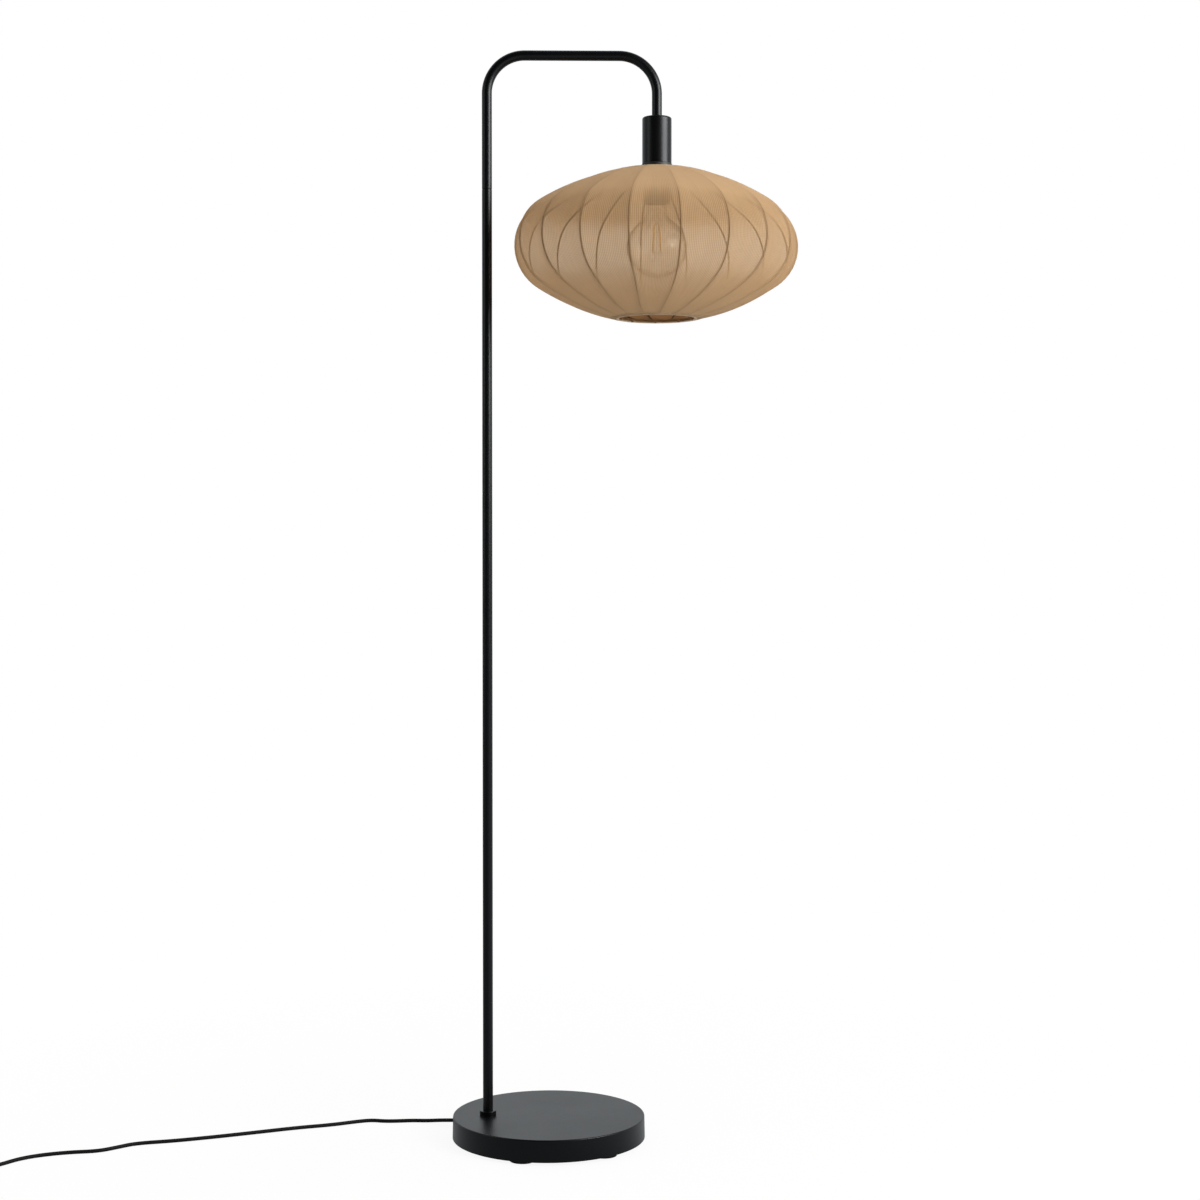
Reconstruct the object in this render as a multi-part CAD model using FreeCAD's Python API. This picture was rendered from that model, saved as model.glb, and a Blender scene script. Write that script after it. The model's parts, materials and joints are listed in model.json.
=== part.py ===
import FreeCAD, Part
import math
import os

# Fabric shade floor lamp: a weighted round base, a pole that stands off its centre,
# an arched arm, and a lantern shade of knit fabric stretched over sprung wire ribs.
# Millimetres. The origin is the centre of the base on the floor, +X runs from the pole
# towards the shade, +Y is the rear and +Z is up.

# Base
base_radius = 127.5
base_draft = 0.6
base_height = 28.7
base_wall = 1.2
base_edge_round = 1.6
weight_thickness = 14.0
weight_clearance = 2.5
nut_pocket_radius = 16.0
nut_pocket_depth = 9.0
boss_radius = 7.0
boss_pitch_radius = 90.0
boss_count = 3
plate_thickness = 1.2
plate_clearance = 2.0
plate_screw_radius = 2.0
plate_screw_length = 9.0
plate_screw_head_radius = 4.0
foot_height = 4.0
foot_radius = 17.0
foot_round = 1.0
foot_pitch_radius = 107.5
foot_count = 6
foot_first_angle = -108.0
collar_radius = 11.0
collar_height = 6.0
collar_round = 0.8

# Pole and arm
pole_offset = 81.0
tube_radius = 6.65
tube_wall = 1.1
lower_tube_length = 826.5
upper_tube_length = 401.7
arm_rise = 176.2
arm_reach = 224.5
arm_drop = 80.7
arm_bend_radius = 50.0
seam_chamfer = 0.35
joiner_plain_length = 20.0
joiner_thread_radius = 4.0
joiner_thread_length = 15.0
insert_length = 18.0
stud_radius = 5.0
stud_bore_radius = 3.2
stud_reach = 16.0
stud_nut_height = 4.0
stud_nut_across = 17.0
washer_thickness = 1.2
washer_radius = 11.0

# Lampholder
cup_radius = 19.4
cup_height = 61.0
cup_wall = 1.0
cup_round = 2.6
cup_nut_across = 14.0
holder_radius = 17.5
holder_wall = 1.9
holder_skirt_length = 47.0
holder_neck_length = 12.0
holder_flange_radius = 20.0
holder_flange_height = 5.0
holder_dome_height = 20.0
holder_entry_radius = 9.0
insert_height = 37.0
insert_pocket_radius = 10.0
insert_pocket_depth = 4.7
screw_shell_radius = 13.4
screw_shell_wall = 0.5
screw_shell_inset = 2.5
contact_leaf = (18.0, 6.0, 0.7)
terminal_offset = 8.0
terminal_screw_radius = 1.5
terminal_head_radius = 2.6
terminal_head_height = 2.0
terminal_screw_length = 8.0
ring_nut_radius = 22.0
ring_nut_height = 8.0

# Shade
shade_radius = 187.4
shade_bend_radius = 65.0
shade_shoulder = 95.9
shade_belly = 93.7
shade_bend_angle = 56.8
rib_count = 18
rib_first_angle = -83.4
rib_width = 1.6
fabric_thickness = 1.0
fabric_clearance = 0.55
frame_ring_radius = 51.2
frame_wire_radius = 1.5
hem_thickness = 0.8
hem_edge_gap = 0.5
hem_lift = 1.0
clip_radius = 1.9
clip_length = 4.0
fitter_radius = 27.0
fitter_thickness = 1.5
spoke_count = 3
spoke_drop = 4.5

# Bulb, a globe of 80 mm on an E27 cap
globe_radius = 40.0
globe_wall = 0.9
bulb_length = 126.0
neck_radius = 12.3
neck_flare_radius = 25.0
cap_radius = 13.05
cap_wall = 0.5
cap_height = 21.5
insulator_height = 3.5
contact_radius = 4.5
contact_height = 2.0
filament_count = 4
filament_radius = 0.9
filament_length = 34.0
filament_top_spread = 4.5
filament_foot_spread = 7.5
stem_radius = 5.0
lead_radius = 0.4

# Mains lead and the pieces on it
cord_radius = 2.5
gland_angle = 154.0
gland_height = 8.4
gland_tail = 15.5
gland_neck_radius = 4.1
gland_flange_radius = 6.0
gland_flange = 3.7
cable_corner_radius = 17.0
cable_corner_inset = 30.0
core_radius = 0.9
switch_length = 84.0
switch_width = 38.0
switch_height = 24.0
switch_split = 11.5
switch_wall = 1.8
switch_round = 4.0
switch_nose_length = 16.0
nose_radius = 5.2
switch_cord_height = 6.0
button_radius = 11.0
button_stand = 3.2
button_travel = 3.0
button_flange = 1.6
button_rim = 1.5
button_plunger_radius = 4.0
contact_block = (22.0, 14.0)
leaf_pressed_height = 3.5
leaf_strip = (6.0, 0.5)
plunger_length = 4.0
switch_screw_offset = (24.0, 11.0)
switch_screw_radius = 1.4
switch_screw_head_radius = 2.7
switch_screw_reach = 8.0
switch_boss_radius = 3.5
switch_heading = -160.0
switch_approach = 14.0
coil_centre = (-869.0, -110.0)
coil_half_turns_in = 5
coil_half_turns_out = 6
coil_inner_radius = 22.0
coil_reverse_inset = 1.2
coil_pitch = 5.6
coil_layer_step = 5.6
tie_width = 9.0
tie_thickness = 1.0
plug_width = 35.0
plug_face_width = 25.0
plug_rear_width = 13.0
plug_thickness = 13.7
plug_length = 36.0
plug_round = 2.4
plug_nose_length = 22.0
plug_tail = 46.0
pin_spacing = 18.6
pin_radius = 2.0
pin_length = 19.0
pin_sleeve_length = 10.0
pin_root_length = 8.0

# Clearances
slip = 0.05
running = 0.3
hairline = 0.15
floor_gap = 0.1
edge_break = 0.6

# Levels and stations worked out from the sizes above
base_bottom = foot_height
base_top = base_bottom + base_height
cover_underside = base_top - base_wall
weight_bottom = cover_underside - weight_thickness
plate_top = base_bottom + plate_thickness
pole_x = -pole_offset
arm_x = pole_x + arm_reach
tube_bore = tube_radius - tube_wall
seam_low = base_top + lower_tube_length
seam_high = seam_low + upper_tube_length
arm_axis_height = seam_high + arm_rise
cup_top = arm_axis_height - arm_drop
cup_bottom = cup_top - cup_height
flange_top = cup_bottom - hairline
flange_bottom = flange_top - holder_flange_height
holder_bottom = flange_bottom - holder_skirt_length
holder_top = flange_top + holder_neck_length
fitter_bottom = flange_bottom - fitter_thickness
spoke_height = fitter_bottom - frame_wire_radius
ring_top_height = spoke_height - spoke_drop
equator_height = ring_top_height - shade_shoulder
ring_bottom_height = equator_height - shade_belly
insert_bottom = holder_top - insert_height - holder_wall
pocket_ceiling = weight_bottom + nut_pocket_depth
stud_bottom = pocket_ceiling - washer_thickness - stud_nut_height
cable_bend = stud_bottom - gland_height - running
contact_tip = insert_bottom + insert_pocket_depth - contact_leaf[2] - 1.0
cap_rim = contact_tip - contact_height - insulator_height - cap_height
globe_height = contact_tip - bulb_length + globe_radius

V = FreeCAD.Vector
up = V(0, 0, 1)
nodes = {}


def outline(points):
    """Closed wire in the XZ plane from (radius, height) points; a third number rounds that corner."""
    edges = []
    corners = [V(p[0], 0, p[1]) for p in points]
    rounds = [p[2] if len(p) > 2 else 0.0 for p in points]
    ends = []
    for i, corner in enumerate(corners):
        if not rounds[i]:
            ends.append((corner, corner, None))
            continue
        back = (corners[i - 1] - corner).normalize()
        ahead = (corners[(i + 1) % len(corners)] - corner).normalize()
        half = back.getAngle(ahead) / 2
        reach = rounds[i] / math.tan(half)
        centre = corner + (back + ahead).normalize() * (rounds[i] / math.sin(half))
        middle = centre + (corner - centre).normalize() * rounds[i]
        ends.append((corner + back * reach, corner + ahead * reach, middle))
    for i, (start, finish, middle) in enumerate(ends):
        if middle is not None:
            edges.append(Part.Arc(start, middle, finish).toShape())
        following = ends[(i + 1) % len(ends)][0]
        if finish.distanceToPoint(following) > 1e-6:
            edges.append(Part.LineSegment(finish, following).toShape())
    return Part.Wire(edges)


def turned(points, x=0.0):
    """Solid of revolution about the vertical line through (x, 0)."""
    solid = Part.Face(outline(points)).revolve(V(0, 0, 0), up, 360)
    return solid.translated(V(x, 0, 0))


def sleeve(outer, inner, low, high, x=0.0):
    """Plain tube about the vertical line through (x, 0)."""
    return turned([(inner, low), (outer, low), (outer, high), (inner, high)], x)


def post(radius, low, high, x=0.0, y=0.0):
    return Part.makeCylinder(radius, high - low, V(x, y, low))


def rod(start, finish, radius):
    return Part.makeCylinder(radius, start.distanceToPoint(finish), start, finish - start)


def hex_nut(across, bore, low, high, x):
    corners = [V(x, 0, low) + polar(across / math.sqrt(3), 60 * k) for k in range(7)]
    return Part.Face(Part.makePolygon(corners)).extrude(up * (high - low)).cut(post(bore, low, high, x))


def polar(radius, angle, height=0.0):
    turn = math.radians(angle)
    return V(radius * math.cos(turn), radius * math.sin(turn), height)


def spun(shape, angle, x=0.0):
    """Copy turned about the vertical line through (x, 0)."""
    copy = shape.copy()
    copy.rotate(V(x, 0, 0), up, angle)
    return copy


def pattern(shape, count, first_angle=0.0, x=0.0):
    return [spun(shape, first_angle + 360.0 * k / count, x) for k in range(count)]


def rounded_path(points, radii):
    """Straight runs joined by tangent arcs, one radius for each inner point."""
    edges = []
    start = points[0]
    for i, radius in enumerate(radii, 1):
        back = (points[i - 1] - points[i]).normalize()
        ahead = (points[i + 1] - points[i]).normalize()
        half = back.getAngle(ahead) / 2
        reach = radius / math.tan(half)
        centre = points[i] + (back + ahead).normalize() * (radius / math.sin(half))
        middle = centre + (points[i] - centre).normalize() * radius
        first = points[i] + back * reach
        last = points[i] + ahead * reach
        edges.append(Part.LineSegment(start, first).toShape())
        edges.append(Part.Arc(first, middle, last).toShape())
        start = last
    edges.append(Part.LineSegment(start, points[-1]).toShape())
    return Part.Wire(edges)


def cord_radii(points):
    """Each bend of a free cord is as large as its two runs allow."""
    radii = []
    for i in range(1, len(points) - 1):
        back = points[i - 1] - points[i]
        ahead = points[i + 1] - points[i]
        half_turn = (math.pi - back.getAngle(ahead)) / 2
        radii.append(0.45 * min(back.Length, ahead.Length) / math.tan(half_turn))
    return radii


def piped(path, radius):
    """Round section carried along a path."""
    first = path.OrderedEdges[0]
    heading = first.tangentAt(first.FirstParameter)
    start = first.valueAt(first.FirstParameter)
    section = Part.Wire([Part.makeCircle(radius, start, heading)])
    return path.makePipeShell([section], True, False)


def free_cord(name, points):
    radii = cord_radii(points)
    path = rounded_path(points, radii)
    solid = piped(path, cord_radius)
    share = solid.Volume / (math.pi * cord_radius ** 2 * path.Length)
    print(name, "length", round(path.Length, 1), "volume share", round(share, 4),
          "radii", [round(r) for r in radii])
    return solid


def meridian(equator_radius, bend_radius, end_radius, top_height, bottom_height):
    """Side curve of the shade as three tangent arcs, lower end first: (centre, radius, from, to)."""
    centre = V(equator_radius - bend_radius, 0, equator_height)
    swing = math.radians(shade_bend_angle)
    arcs = [(centre, bend_radius, -swing, swing)]
    for side, end_height in ((1, top_height), (-1, bottom_height)):
        normal = V(math.cos(swing), 0, side * math.sin(swing))
        joint = centre + normal * bend_radius
        chord = V(end_radius, 0, end_height) - joint
        radius = -chord.dot(chord) / (2 * chord.dot(normal))
        hub = joint - normal * radius
        end_angle = math.atan2(end_height - hub.z, end_radius - hub.x)
        if side > 0:
            arcs.append((hub, radius, swing, end_angle))
        else:
            arcs.insert(0, (hub, radius, end_angle, -swing))
    return arcs


def on_arc(arc, offset, share):
    centre, radius, begin, end = arc
    angle = begin + (end - begin) * share
    return centre + V(math.cos(angle), 0, math.sin(angle)) * (radius + offset)


def band(arcs, half_thickness):
    """Flat face of even thickness along the arcs, in the XZ plane."""
    edges = []
    for offset in (half_thickness, -half_thickness):
        for arc in arcs:
            three = [on_arc(arc, offset, share) for share in (0, 0.5, 1)]
            edges.append(Part.Arc(*three).toShape())
    for arc, share in ((arcs[0], 0), (arcs[-1], 1)):
        ends = [on_arc(arc, offset, share) for offset in (half_thickness, -half_thickness)]
        edges.append(Part.LineSegment(*ends).toShape())
    return Part.Face(Part.Wire(Part.__sortEdges__(edges)))


def circle_ring(ring_radius, wire_radius, height, x):
    return Part.makeTorus(ring_radius, wire_radius, V(x, 0, height))


def stadium(length, width, low, high):
    """Upright block with round ends along X."""
    reach = length / 2 - width / 2
    block = Part.makeBox(2 * reach, width, high - low, V(-reach, -width / 2, low))
    ends = [post(width / 2, low, high, side * reach) for side in (-1, 1)]
    return block.fuse(ends).removeSplitter()


def along_x(shape):
    """Copy of a piece turned about Z, laid down so that its +Z end points along +X."""
    copy = shape.copy()
    copy.rotate(V(0, 0, 0), V(0, 1, 0), 90)
    return copy


def build_base():
    skirt_radius = base_radius + base_draft
    cover = turned([(0, base_top), (base_radius, base_top, base_edge_round), (skirt_radius, base_bottom),
                    (skirt_radius - base_wall, base_bottom), (base_radius - base_wall, cover_underside),
                    (0, cover_underside)])
    notch = rod(V(base_radius - 20, 0, gland_height), V(base_radius + 20, 0, gland_height),
                gland_neck_radius + slip)
    slot_width = 2 * (gland_neck_radius + slip)
    slot = Part.makeBox(40, slot_width, gland_height - base_bottom,
                        V(base_radius - 20, -slot_width / 2, base_bottom))
    exit_cut = spun(notch.fuse(slot), gland_angle)
    stud_hole = post(stud_radius + running, weight_bottom, base_top, pole_x)
    nodes["base_cover"] = cover.cut(exit_cut).cut(stud_hole)

    weight_radius = base_radius - base_wall - weight_clearance
    weight = post(weight_radius, weight_bottom, cover_underside)
    boss = post(boss_radius, plate_top, weight_bottom, boss_pitch_radius)
    screw_hole = post(plate_screw_radius, plate_top, plate_top + plate_screw_length, boss_pitch_radius)
    weight = weight.fuse(pattern(boss, boss_count)).cut(pattern(screw_hole, boss_count))
    weight = weight.cut(stud_hole).cut(post(nut_pocket_radius, weight_bottom, pocket_ceiling, pole_x))
    nodes["base_weight"] = weight.removeSplitter()

    plate_radius = skirt_radius - base_wall - plate_clearance
    plate = post(plate_radius, base_bottom, plate_top)
    plate_hole = post(plate_screw_radius + slip, base_bottom, plate_top, boss_pitch_radius)
    nodes["base_plate"] = plate.cut(pattern(plate_hole, boss_count))
    head_low = base_bottom - plate_screw_radius
    shank_top = base_bottom + plate_screw_length
    shank_radius = plate_screw_radius - slip
    screw = turned([(0, head_low), (plate_screw_head_radius, head_low, edge_break),
                    (plate_screw_head_radius, base_bottom), (shank_radius, base_bottom),
                    (shank_radius, shank_top), (0, shank_top)], boss_pitch_radius)
    nodes["base_plate_screws"] = Part.makeCompound(pattern(screw, boss_count))
    pad = turned([(0, 0), (foot_radius, 0, foot_round), (foot_radius, foot_height), (0, foot_height)],
                 foot_pitch_radius)
    nodes["base_feet"] = Part.makeCompound(pattern(pad, foot_count, foot_first_angle))

    collar_bore = tube_radius + slip
    nodes["pole_collar"] = turned([(collar_bore, base_top), (collar_radius, base_top),
                                   (collar_radius, base_top + collar_height, collar_round),
                                   (collar_bore, base_top + collar_height)], pole_x)
    nodes["foot_stud"] = sleeve(stud_radius, stud_bore_radius, stud_bottom, base_top + stud_reach, pole_x)
    bush_top = base_top + insert_length
    nodes["foot_bush"] = sleeve(tube_bore - slip, stud_radius + slip, base_top, bush_top, pole_x)
    washer_bottom = pocket_ceiling - washer_thickness
    nodes["foot_washer"] = sleeve(washer_radius, stud_radius + slip, washer_bottom, pocket_ceiling, pole_x)
    nodes["foot_nut"] = hex_nut(stud_nut_across, stud_radius + slip, stud_bottom, washer_bottom, pole_x)


def tube_section(low, high):
    """Straight tube with a small chamfer at the ends that meet another tube."""
    chamfered = tube_radius - seam_chamfer
    lower = [(tube_radius, low)]
    if low > base_top:
        lower = [(chamfered, low), (tube_radius, low + seam_chamfer)]
    return turned([(tube_bore, low)] + lower + [(tube_radius, high - seam_chamfer), (chamfered, high),
                                               (tube_bore, high)], pole_x)


def build_pole():
    nodes["lower_pole_tube"] = tube_section(base_top, seam_low)
    nodes["upper_pole_tube"] = tube_section(seam_low, seam_high)
    path = rounded_path([V(pole_x, 0, seam_high), V(pole_x, 0, arm_axis_height), V(arm_x, 0, arm_axis_height),
                         V(arm_x, 0, cup_top)], [arm_bend_radius, arm_bend_radius])
    seam_cut = sleeve(tube_radius + 1, tube_radius - seam_chamfer, seam_high, seam_high + seam_chamfer / 2,
                      pole_x)
    nodes["arm_tube"] = piped(path, tube_radius).cut(piped(path, tube_bore)).cut(seam_cut)

    joiners = []
    inserts = []
    plain_radius = tube_bore - slip
    cable_bore = cord_radius + running
    for seam in (seam_low, seam_high):
        joiner_low = seam - joiner_plain_length
        joiner_high = seam + joiner_thread_length
        joiners.append(turned([(cable_bore, joiner_low), (plain_radius, joiner_low), (plain_radius, seam),
                               (joiner_thread_radius, seam), (joiner_thread_radius, joiner_high, edge_break),
                               (cable_bore, joiner_high)], pole_x))
        inserts.append(sleeve(plain_radius, joiner_thread_radius + slip, seam, seam + insert_length, pole_x))
    nodes["pole_joiners"] = Part.makeCompound(joiners)
    nodes["pole_inserts"] = Part.makeCompound(inserts)
    nodes["arm_end_bush"] = sleeve(plain_radius, stud_radius + slip, cup_top, cup_top + insert_length, arm_x)


def build_holder():
    cup_bore = cup_radius - cup_wall
    cup_ceiling = cup_top - cup_wall
    nodes["holder_cup"] = turned([(stud_radius + slip, cup_top), (cup_radius, cup_top, cup_round),
                                  (cup_radius, cup_bottom), (cup_bore, cup_bottom),
                                  (cup_bore, cup_ceiling, cup_round - cup_wall),
                                  (stud_radius + slip, cup_ceiling)], arm_x)
    washer_bottom = cup_ceiling - washer_thickness
    nut_bottom = washer_bottom - stud_nut_height
    nodes["cup_washer"] = sleeve(washer_radius, stud_radius + slip, washer_bottom, cup_ceiling, arm_x)
    nodes["cup_nut"] = hex_nut(cup_nut_across, stud_radius + slip, nut_bottom, washer_bottom, arm_x)
    dome_top = holder_top + holder_dome_height
    entry_bottom = dome_top - holder_entry_radius
    nodes["holder_nipple"] = sleeve(stud_radius, stud_bore_radius, entry_bottom, cup_top + stud_reach, arm_x)

    dome_inner = holder_radius - holder_wall
    nodes["holder_cap"] = turned([(dome_inner, holder_top), (holder_radius, holder_top),
                                  (holder_radius, holder_top + 3.0, 3.0),
                                  (holder_entry_radius, dome_top - 6.0, 2.0),
                                  (holder_entry_radius, dome_top), (stud_radius + slip, dome_top),
                                  (stud_radius + slip, entry_bottom),
                                  (holder_entry_radius - holder_wall, entry_bottom - 1.5, 1.5),
                                  (dome_inner, holder_top + 2.0, 2.0)], arm_x)
    shell_bore = screw_shell_radius + screw_shell_wall + running
    nodes["holder_shell"] = turned([(shell_bore, holder_bottom), (holder_radius, holder_bottom, 0.8),
                                    (holder_radius, flange_bottom), (holder_flange_radius, flange_bottom),
                                    (holder_flange_radius, flange_top, 0.8), (holder_radius, flange_top),
                                    (holder_radius, holder_top), (dome_inner, holder_top),
                                    (dome_inner, insert_bottom), (shell_bore, insert_bottom)], arm_x)

    insert_top = insert_bottom + insert_height
    insert = post(dome_inner - slip, insert_bottom, insert_top, arm_x)
    pocket_top = insert_bottom + insert_pocket_depth
    insert = insert.cut(post(insert_pocket_radius, insert_bottom, pocket_top, arm_x))
    hole_bottom = insert_top - terminal_screw_length
    tip = hole_bottom + running
    shank_radius = terminal_screw_radius - slip
    head_top = insert_top + terminal_head_height
    heads = []
    for side in (-1, 1):
        screw_x = arm_x + side * terminal_offset
        insert = insert.cut(post(terminal_screw_radius, hole_bottom, insert_top, screw_x))
        heads.append(turned([(0, tip), (shank_radius, tip), (shank_radius, insert_top),
                             (terminal_head_radius, insert_top), (terminal_head_radius, head_top, edge_break),
                             (0, head_top)], screw_x))
    nodes["holder_insert"] = insert
    nodes["terminal_screws"] = Part.makeCompound(heads)
    shell_outer = screw_shell_radius + screw_shell_wall
    shell_low = holder_bottom + screw_shell_inset
    shell_floor = insert_bottom - screw_shell_wall
    nodes["holder_screw_shell"] = turned([(screw_shell_radius, shell_low), (shell_outer, shell_low),
                                          (shell_outer, insert_bottom), (insert_pocket_radius, insert_bottom),
                                          (insert_pocket_radius, shell_floor),
                                          (screw_shell_radius, shell_floor)], arm_x)
    leaf_length, leaf_width, leaf_thickness = contact_leaf
    leaf_low = contact_tip + hairline
    leaf = Part.makeBox(leaf_length, leaf_width, leaf_thickness,
                        V(arm_x - leaf_length / 2, -leaf_width / 2, leaf_low))
    rivet = post(leaf_width / 2 - 1, leaf_low + leaf_thickness, pocket_top, arm_x)
    nodes["holder_contact"] = leaf.fuse(rivet).removeSplitter()

    ring_bottom = fitter_bottom - ring_nut_height
    ring = turned([(holder_radius + slip, ring_bottom), (ring_nut_radius, ring_bottom, 1.2),
                   (ring_nut_radius, fitter_bottom), (holder_radius + slip, fitter_bottom)], arm_x)
    flute = post(1.2, ring_bottom, fitter_bottom, arm_x + ring_nut_radius + 0.5)
    nodes["shade_ring_nut"] = ring.cut(pattern(flute, 12, 0, arm_x))


def build_shade():
    half_step = math.radians(180.0 / rib_count)
    squeeze = math.cos(half_step)
    corner_relief = rib_width / 2 * math.sin(half_step)

    # The fabric is flat across each gore, so its side curve is taken at the middle of a panel
    panel_radius = shade_radius * squeeze - fabric_thickness / 2
    hem_outer = frame_wire_radius + hairline + hem_thickness
    panel_end = frame_ring_radius + hem_outer + hem_edge_gap
    stand_off = rib_width / 2 + fabric_clearance + fabric_thickness / 2
    panel_arcs = meridian(panel_radius, shade_bend_radius, panel_end,
                          ring_top_height + stand_off, ring_bottom_height - stand_off)
    reach = 1.2 * shade_radius * math.tan(half_step)
    gore = band(panel_arcs, fabric_thickness / 2).extrude(V(0, 2 * reach, 0)).translated(V(0, -reach, 0))
    wedge_side = 1.2 * shade_radius
    low_point = V(0, 0, ring_bottom_height - 20)
    corners = [low_point, low_point + polar(wedge_side, -180.0 / rib_count),
               low_point + polar(wedge_side, 180.0 / rib_count), low_point]
    wedge = Part.Face(Part.makePolygon(corners)).extrude(up * (ring_top_height - ring_bottom_height + 40))
    gore = gore.common(wedge)
    gores = pattern(gore, rib_count, rib_first_angle + 180.0 / rib_count)
    fabric = gores[0].fuse(gores[1:]).removeSplitter()
    nodes["shade_fabric"] = fabric.translated(V(arm_x, 0, 0))

    rib_outer = (shade_radius * squeeze - fabric_thickness - corner_relief - fabric_clearance) / squeeze
    rib_bend = (shade_bend_radius - fabric_thickness / 2 - fabric_clearance) * squeeze - rib_width / 2
    rib_arcs = meridian(rib_outer - rib_width / 2, rib_bend, frame_ring_radius,
                        ring_top_height, ring_bottom_height)
    rib = band(rib_arcs, rib_width / 2).extrude(V(0, rib_width, 0)).translated(V(0, -rib_width / 2, 0))
    rings = [circle_ring(frame_ring_radius, frame_wire_radius, height, 0)
             for height in (ring_top_height, ring_bottom_height)]
    rib = rib.cut(rings)
    ribs = [copy.translated(V(arm_x, 0, 0)) for copy in pattern(rib, rib_count, rib_first_angle)]
    nodes["shade_ribs"] = Part.makeCompound(ribs)
    nodes["shade_top_ring"] = rings[0].translated(V(arm_x, 0, 0))
    nodes["shade_bottom_ring"] = rings[1].translated(V(arm_x, 0, 0))

    # Short clips that hold every second rib to the inside of the lower ring
    clip_reach = frame_ring_radius - frame_wire_radius - slip
    clip = along_x(turned([(0, clip_reach - clip_length), (clip_radius, clip_reach - clip_length, 0.5),
                           (clip_radius, clip_reach), (0, clip_reach)]))
    clip = clip.translated(V(0, 0, ring_bottom_height - hem_lift + clip_radius + hairline)).cut(rings[1])
    first_clip = rib_first_angle - 360.0 / rib_count
    clips = [copy.translated(V(arm_x, 0, 0)) for copy in pattern(clip, rib_count // 2, first_clip)]
    nodes["rib_clips"] = Part.makeCompound(clips)

    spoke_root = fitter_radius - 2 * frame_wire_radius
    spoke_ends = (V(spoke_root, 0, spoke_height), V(frame_ring_radius, 0, ring_top_height))
    spoke_angle = rib_first_angle + 180.0 / rib_count
    slots = pattern(rod(*spoke_ends, frame_wire_radius + hairline), spoke_count, spoke_angle)

    # Hems wrap the outer half of each ring, away from the ribs, and let the spokes through
    hem_inner = frame_wire_radius + hairline
    hem_places = (("shade_top_hem", ring_top_height, 1), ("shade_bottom_hem", ring_bottom_height, -1))
    for name, height, side in hem_places:
        crown = Part.makeTorus(frame_ring_radius, hem_outer, V(0, 0, height))
        hollow = Part.makeTorus(frame_ring_radius, hem_inner, V(0, 0, height))
        keep_low = height + hem_lift if side > 0 else height - hem_lift - 2 * hem_outer
        keep = post(2 * frame_ring_radius, keep_low, keep_low + 2 * hem_outer)
        nodes[name] = crown.cut(hollow).common(keep).cut(slots).translated(V(arm_x, 0, 0))

    fitter_bore = holder_radius + slip
    fitter = sleeve(fitter_radius, fitter_bore, fitter_bottom, flange_bottom)
    spokes = pattern(rod(*spoke_ends, frame_wire_radius), spoke_count, spoke_angle)
    fitter = fitter.fuse(spokes).cut(rings[0])
    nodes["shade_fitter"] = fitter.translated(V(arm_x, 0, 0))


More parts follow.
